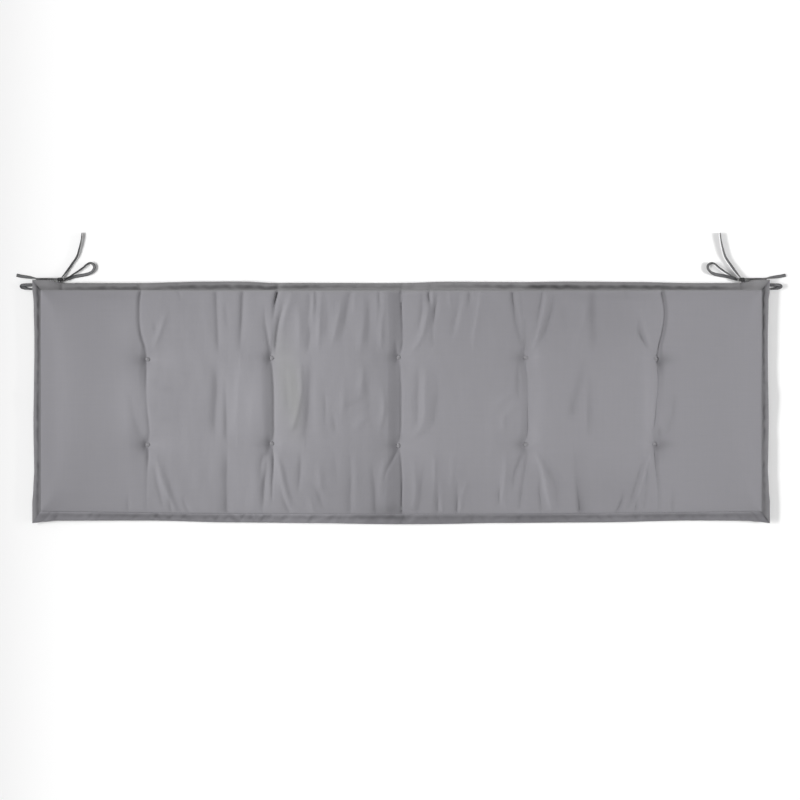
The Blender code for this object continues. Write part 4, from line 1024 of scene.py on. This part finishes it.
# Given along each side, in mm: how far out the groove runs and how deep it is, how rippled and how light
# the cloth is, with painted light on the flat corners, and the notches' places, leans, widths and depths.
borderLooks = {
    "back": {
        "bluish": 0.0, "inner": 0.1, "strokes": 0.0,
        "band": {-751: 0.14, -690: 0.14, -650: 0.2, -600: 0.26, -560: 0.24, -532: 0.18, -500: 0.16,
                 -478: 0.3, -450: 0.36, -400: 0.36, -340: 0.38, -300: 0.34, -262: 0.28, -250: 0.36,
                 -232: 0.45, -190: 0.46, -120: 0.54, -20: 0.48, 60: 0.45, 150: 0.5, 220: 0.42, 262: 0.4,
                 300: 0.38, 370: 0.32, 440: 0.37, 500: 0.37, 545: 0.32, 600: 0.28, 700: 0.26, 751: 0.26},
        "groove": {-751: 0.1, -738: 0.3, -700: 0.45, -684: 0.45, -668: 0.6, -620: 0.95, -540: 1, -528: 0.6,
                   -480: 0.6, -455: 1, -330: 1, -290: 1.2, -256: 1.2, -246: 0.5, -232: 1, -190: 0.95,
                   -160: 0.6, -110: 0.5, -60: 0.3, -4: 0.5, 20: 0.05, 60: 0, 100: 0.45, 150: 0.6, 190: 0.9,
                   225: 0.95, 240: 0.7, 262: 1.3, 300: 1.5, 345: 1.35, 400: 1.15, 500: 1.2, 640: 1, 690: 0.3,
                   751: 0.1},
        "ripple": {-751: 0.3, -500: 0.25, -180: 0.5, 0: 0.9, 230: 1, 280: 0.4, 751: 0.3},
        "tone": {-751: 1.22, -722: 1.22, -712: 1.1, -692: 1.05, -684: 1.02, -532: 1, -520: 1.12, -500: 1,
                 -258: 1, -246: 1.16, -226: 1.02, -10: 1, 20: 1.05, 230: 1.06, 246: 1.14, 262: 1, 684: 1.02,
                 692: 1.05, 712: 1.1, 722: 1.22, 751: 1.22},
        "notches": ((-691, 0, 3, 2.6), (-604, 5, 3, 0.6), (-531, -4, 3, 1.6), (-457, 3, 2.6, 0.9),
                    (-253, 2, 3, 1.7), (-180, 8, 3, 0.8), (-98, 10, 3, 0.9), (-1, 3, 3.2, 1.6),
                    (56, 4, 2.6, 0.9), (113, -6, 3, 0.7), (224, 2, 3, 1.2), (285, -3, 3, 1),
                    (457, -3, 2.6, 0.8), (531, 4, 3, 1.6), (691, 0, 3, 2.6))},
    "front": {
        "bluish": 1.0, "inner": 0.38, "strokes": 1.0,
        "band": {-751: 0.42, -600: 0.4, -450: 0.46, -300: 0.44, -150: 0.38, -60: 0.3, 0: 0.3, 150: 0.34,
                 300: 0.36, 450: 0.38, 600: 0.42, 751: 0.42},
        "groove": {-751: 0.1, -705: 0.15, -660: 0.3, -520: 0.4, -300: 0.25, -120: 0.35, -60: 0.7, 0: 0.75,
                   14: 0.3, 120: 0.25, 290: 0.35, 500: 0.35, 660: 0.3, 705: 0.1, 751: 0.1},
        "ripple": {-751: 0.2, -700: 0.4, -540: 0.7, -480: 1.4, -300: 1.2, -100: 0.8, 0: 1, 120: 1.2,
                   300: 0.9, 500: 1, 700: 0.4, 751: 0.2},
        "tone": {-751: 1.05, -736: 1.14, -720: 1.12, -705: 0.96, -694: 1.08, -640: 1.14, -600: 1.01,
                 -400: 1.02, -200: 1.12, -90: 1.05, -60: 0.94, 0: 0.9, 20: 0.93, 120: 0.87, 180: 0.92,
                 280: 0.84, 360: 0.92, 440: 1, 540: 0.94, 600: 0.96, 640: 1.04, 694: 1, 705: 0.92, 722: 1,
                 751: 1.02},
        "notches": ((-712, -18, 3, 1.8), (-492, -14, 3, 1.3), (-316, -16, 3.4, 1.3), (-262, -12, 3, 0.9),
                    (-120, -12, 3, 0.9), (8, -10, 3, 1.8), (150, -10, 3, 0.9), (247, -14, 3.4, 1.2),
                    (470, 14, 3, 1.3), (560, 12, 3, 1), (712, 18, 3, 1.8))},
    "left": {
        "bluish": 0.5, "inner": 0.05, "strokes": 0.2,
        "band": {-246: 0.26, -120: 0.22, 0: 0.26, 120: 0.2, 249: 0.2},
        "groove": {-246: 0.2, -225: 0.5, -180: 0.5, -138: 0.55, -98: 0.4, -57: 0.6, -16: 0.6, 0: 0.7,
                   24: 0.35, 65: 0.6, 105: 0.6, 146: 0.72, 187: 0.82, 225: 0.78, 238: 0.5, 249: 0.15},
        "ripple": {-246: 0.3, 0: 0.6, 249: 0.3},
        "tone": {-246: 0.98, 0: 1, 249: 1},
        "notches": ((-60, 6, 3, 0.7), (38, -5, 3, 1.2), (120, 5, 3, 0.6), (-150, 4, 3, 0.5))},
}
borderLooks["right"] = borderLooks["left"]
# The outer edge, x: y in mm, and how far the short sides are drawn in, y: distance.
backEdge = {
    -751: 248.9, -735: 248.9, -716: 248, -700: 244, -686: 242.2, -537: 242.2, -400: 245.2, -328: 245.4,
    -255: 242.5, 0: 242.2, 92: 245, 245: 244.2, 350: 245.2, 470: 244.4, 600: 242.2, 686: 242.2, 700: 244,
    716: 248, 735: 248.9, 751: 248.9,
}
frontEdge = {
    -751: -246.6, -727: -244, -703: -241.8, -515: -241.4, -345: -245.2, -185: -246.6, -20: -248.9,
    60: -248.7, 200: -246.4, 400: -245.2, 590: -241.4, 703: -241.8, 727: -244, 751: -246.6,
}
sideDrawIn = {
    -246.6: 0, -206: 0, -180: 2, -138: 3.8, -40: 2.2, 24: 3.4, 126: 4.2, 205: 2.7, 228: 0.5, 248.9: 0,
}


def borderLines(side, part):
    # Outer edge and seam of one side, as arrays of x and y, part of the way along.
    if side in ("front", "back"):
        edgeX = border["cornerX"] * (2.0 * part - 1.0)
        edgeY = eased(backEdge if side == "back" else frontEdge, edgeX / mm) * mm
        seamX = pad["halfLength"] * (2.0 * part - 1.0)
        seamY = np.full_like(seamX, pad["backSeam"]) if side == "back" else frontSeamAt(seamX)
        return np.stack([edgeX, edgeY], 1), np.stack([seamX, seamY], 1)
    sign = 1.0 if side == "right" else -1.0
    edgeY = mixed(border["frontCornerY"], border["backCornerY"], part)
    edgeX = sign * (border["cornerX"] - eased(sideDrawIn, edgeY / mm) * mm)
    seamY = mixed(pad["frontSeam"], pad["backSeam"], part)
    return np.stack([edgeX, edgeY], 1), np.stack([np.full_like(seamY, sign * pad["halfLength"]), seamY], 1)


def ripples(side, place, section):
    # Slanting ripples that come and go along the side.
    slant = ripple["slant"][side] * np.sign(ripple["slantTurns"] - place)
    waves = sum(waveAt(place / long + slant * section, 1.0, start) * share
                for long, start, share in ripple["waves"])
    patchy = math.prod(waveAt(place, long, start) for long, start in ripple["patches"])
    return waves * (ripple["least"] + (1.0 - ripple["least"]) * patchy)


def notches(looks, place, section, middle, bell):
    # The notches of one side and its row of fine strokes, which lean away from the middle, in mm.
    total = np.zeros_like(place)
    for start, lean, width, depth in looks["notches"]:
        across = place / mm - start - lean * (section - middle)
        reach = mixed(notchShape["ends"], 1.0, bell)
        total += depth * np.exp(-np.abs(across / width) ** notchShape["curve"]) * reach
    for number in range(strokes["count"]):
        sway = strokes["sway"] * math.sin(strokes["swayTurn"] * number)
        start = strokes["first"] + strokes["apart"] * number + sway
        across = place / mm - start - math.copysign(strokes["lean"], start) * (section - 0.5)
        change = strokes["change"] * math.sin(strokes["changeTurn"] * number + strokes["changeStart"])
        depth = looks["strokes"] * (strokes["depth"] + change)
        total += depth * np.exp(-np.abs(across / strokes["width"]) ** strokes["curve"]) * bell
    return total


def borderRings(side):
    # The strip as rings along one side, with how light and how blue each point is.
    looks = borderLooks[side]
    level = side in ("front", "back")
    length = 2.0 * border["cornerX"] if level else border["backCornerY"] - border["frontCornerY"]
    part = np.linspace(0.0, 1.0, math.ceil(length / border["step"]))
    edge, seam = borderLines(side, part)
    outward = np.array(border["across"])
    section = np.concatenate([outward, outward[::-1][1:]])[None]
    upper = np.sign(len(outward) - 1.0 - np.arange(section.size))[None]   # 1 on top, -1 below
    flat = mixed(seam[:, None], edge[:, None], section[:, :, None])
    place = flat[:, :, 0] if level else flat[:, :, 1]
    band, groove, rippled, tone = (eased(looks[key], place / mm)
                                   for key in ("band", "groove", "ripple", "tone"))
    wander = sum(waveAt(place, long, start) for long, start in wandering["waves"])
    groove = groove * (1.0 + wandering["change"] * np.roll(wander, wandering["shift"], axis=0))
    inBand = np.exp(-((section - band - wandering["wander"] * wander) / border["dipWidth"]) ** 2)
    bell = np.sin(np.pi * np.clip(section * 0.9 + 0.05, 0.0, 1.0))
    waves = ripples(side, place, section) * rippled * bell
    cuts = notches(looks, place, section, 0.0 if level else 0.5, bell)
    fromCorner = np.minimum(part, 1.0 - part)[:, None] * length
    mitre = np.exp(-fromCorner / border["mitreWidth"]) * mixed(1.0, border["mitreOut"], section)
    if side != "back":
        mitre = mitre * np.clip(place / border["mitreFades"], 0.0, 1.0)
    flutter = sum(waveAt(place, long, 1.0) for long in border["flutterLengths"])
    roll = np.sin(np.pi * np.clip((section - border["rollFrom"]) / (1.0 - border["rollFrom"]), 0.0, 1.0))
    height = (pad["seamHeight"] - border["droop"] * section ** border["droopCurve"]
              + border["flutter"] * flutter * section * np.sin(np.pi * part)[:, None]
              + groove * (border["roll"] * roll - border["dip"] * inBand)
              + ripple["height"] * waves - cuts * mm - border["mitreDip"] * mitre)
    rounding = ((section - border["roundFrom"]) / (1.0 - border["roundFrom"])).clip(0.0) ** 2
    inner = mixed(border["innerThin"], 1.0, np.clip(section * border["innerRun"], 0.0, 1.0))
    thick = border["thickness"] / 2 * np.sqrt(np.clip(1.0 - rounding, 0.0, 1.0)) * inner
    height = height + upper * thick
    # Painted shade in the groove, notches and mitre and on the ripples' troughs; painted light towards the
    # outer edge, beside the seam and on the ripples' crests.
    shade = tone * (1.0 - border["bandShade"] * groove * inBand) * (1.0 + border["outerShade"] * section)
    shade = shade * (1.0 + looks["inner"] * np.exp(-(section / border["innerReach"]) ** 2))
    shade = shade * (1.0 - border["notchShade"] * cuts) * (1.0 - border["mitreShade"] * mitre)
    shade = shade * (1.0 + border["rippleShade"] * waves)
    return np.concatenate([flat, height[:, :, None]], axis=2), shade, np.full_like(shade, looks["bluish"])


def makeBorder():
    for side in ("front", "back", "left", "right"):
        rings, shade, bluish = borderRings(side)
        strip = skinOver("border_strip_" + side, rings, cloths["borderCloth"],
                         notes={"shade": shade, "faded": bluish})
        standFor(strip, "border_" + side)
    print("border made")


makeBorder()

# Tuft knots: short turns of yarn in each pit.
yarn = {"radius": 0.0046, "height": 0.0019, "raised": 0.0003, "strands": 9, "relief": 0.10, "twist": 5.0,
        "lumps": 0.08, "rings": 15, "around": 36, "underside": -0.96, "columnTurn": 1.7, "backTurn": 0.9}


def topUnder(x, y):
    # Height of the finished panel at a point.
    hit, place = cushion.ray_cast(Vector((x, y, 0.1)), Vector((0.0, 0.0, -1.0)))[:2]
    return place.z if hit else panelHeight(x, y)


def tuftKnot(name, x, y, phase):
    # A low lump of yarn wound over itself, sunk in its pit.
    lift = np.linspace(yarn["underside"], 1.0, yarn["rings"] + 1)[:-1, None]
    turn = np.arange(yarn["around"])[None] / yarn["around"] * fullTurn
    wound = np.sin(yarn["strands"] * turn + yarn["twist"] * lift + phase) * (1.0 - np.abs(lift))
    lump = 1.0 + yarn["relief"] * wound + yarn["lumps"] * np.sin(2.0 * turn + phase)
    radius = yarn["radius"] * np.sqrt(1.0 - lift ** 2) * lump
    level = topUnder(x, y) + yarn["raised"] + yarn["height"] * lift * lump
    winding = np.stack([radius * np.cos(turn), radius * np.sin(turn), np.zeros_like(radius)], axis=2)
    rings = winding + (x, y, 0.0)
    rings[:, :, 2] = level
    return skinOver(name, rings, cloths["tuftYarn"], notes={"lie": winding})


def makeTufts():
    for column, pair in tufts["spots"].items():
        for row, turn, (x, y) in zip(("back", "front"), (yarn["backTurn"], 0.0), pair):
            phase = yarn["columnTurn"] * column + turn
            piece = tuftKnot(f"yarn_knot_{column}_{row}", x * mm, y * mm, phase)
            standFor(piece, f"tuft_{column}_{row}")
    print("tuft knots made")


makeTufts()

# Floor and light. Each soft box has a place, what it faces, its size, how wide it throws and its power.
studio = {
    "floorSize": 12.0, "floorDrop": 0.0004, "floorColour": (0.93, 0.93, 0.93), "floorRoughness": 0.9,
    "worldColour": (1.0, 1.0, 1.0), "worldStrength": 0.32,
    "boxes": (
        {"name": "leftBox", "place": (-2.06, -0.5, 1.37), "aim": (0.06, -0.5), "size": (5.0, 0.5),
         "throw": 53.6, "power": 26.0},
        {"name": "rightBox", "place": (2.67, -0.5, 0.92), "aim": (0.56, -0.5), "size": (5.0, 0.5),
         "throw": 18.3, "power": 9.4},
    ),
}


def makeStudio():
    bpy.ops.mesh.primitive_plane_add(size=studio["floorSize"], location=(0.0, 0.0, -studio["floorDrop"]))
    floor = bpy.context.object
    floor.name = "floor"
    material = bpy.data.materials.new("paleFloor")
    material.use_nodes = True
    shader = material.node_tree.nodes["Principled BSDF"]
    shader.inputs["Base Color"].default_value = (*studio["floorColour"], 1.0)
    shader.inputs["Roughness"].default_value = studio["floorRoughness"]
    floor.data.materials.append(material)
    world = bpy.data.worlds.new("studioWorld")
    world.use_nodes = True
    world.node_tree.nodes["Background"].inputs["Color"].default_value = (*studio["worldColour"], 1.0)
    world.node_tree.nodes["Background"].inputs["Strength"].default_value = studio["worldStrength"]
    scene.world = world
    for box in studio["boxes"]:
        data = bpy.data.lights.new(box["name"], "AREA")
        data.shape, data.size, data.size_y = "RECTANGLE", box["size"][0], box["size"][1]
        data.energy, data.spread = box["power"], math.radians(box["throw"])
        lamp = bpy.data.objects.new(box["name"], data)
        scene.collection.objects.link(lamp)
        lamp.location = box["place"]
        facing = Vector((*box["aim"], 0.0)) - Vector(box["place"])
        lamp.rotation_euler = facing.to_track_quat("-Z", "Y").to_euler()
    scene.view_settings.view_transform = "Standard"
    print("studio made")


makeStudio()
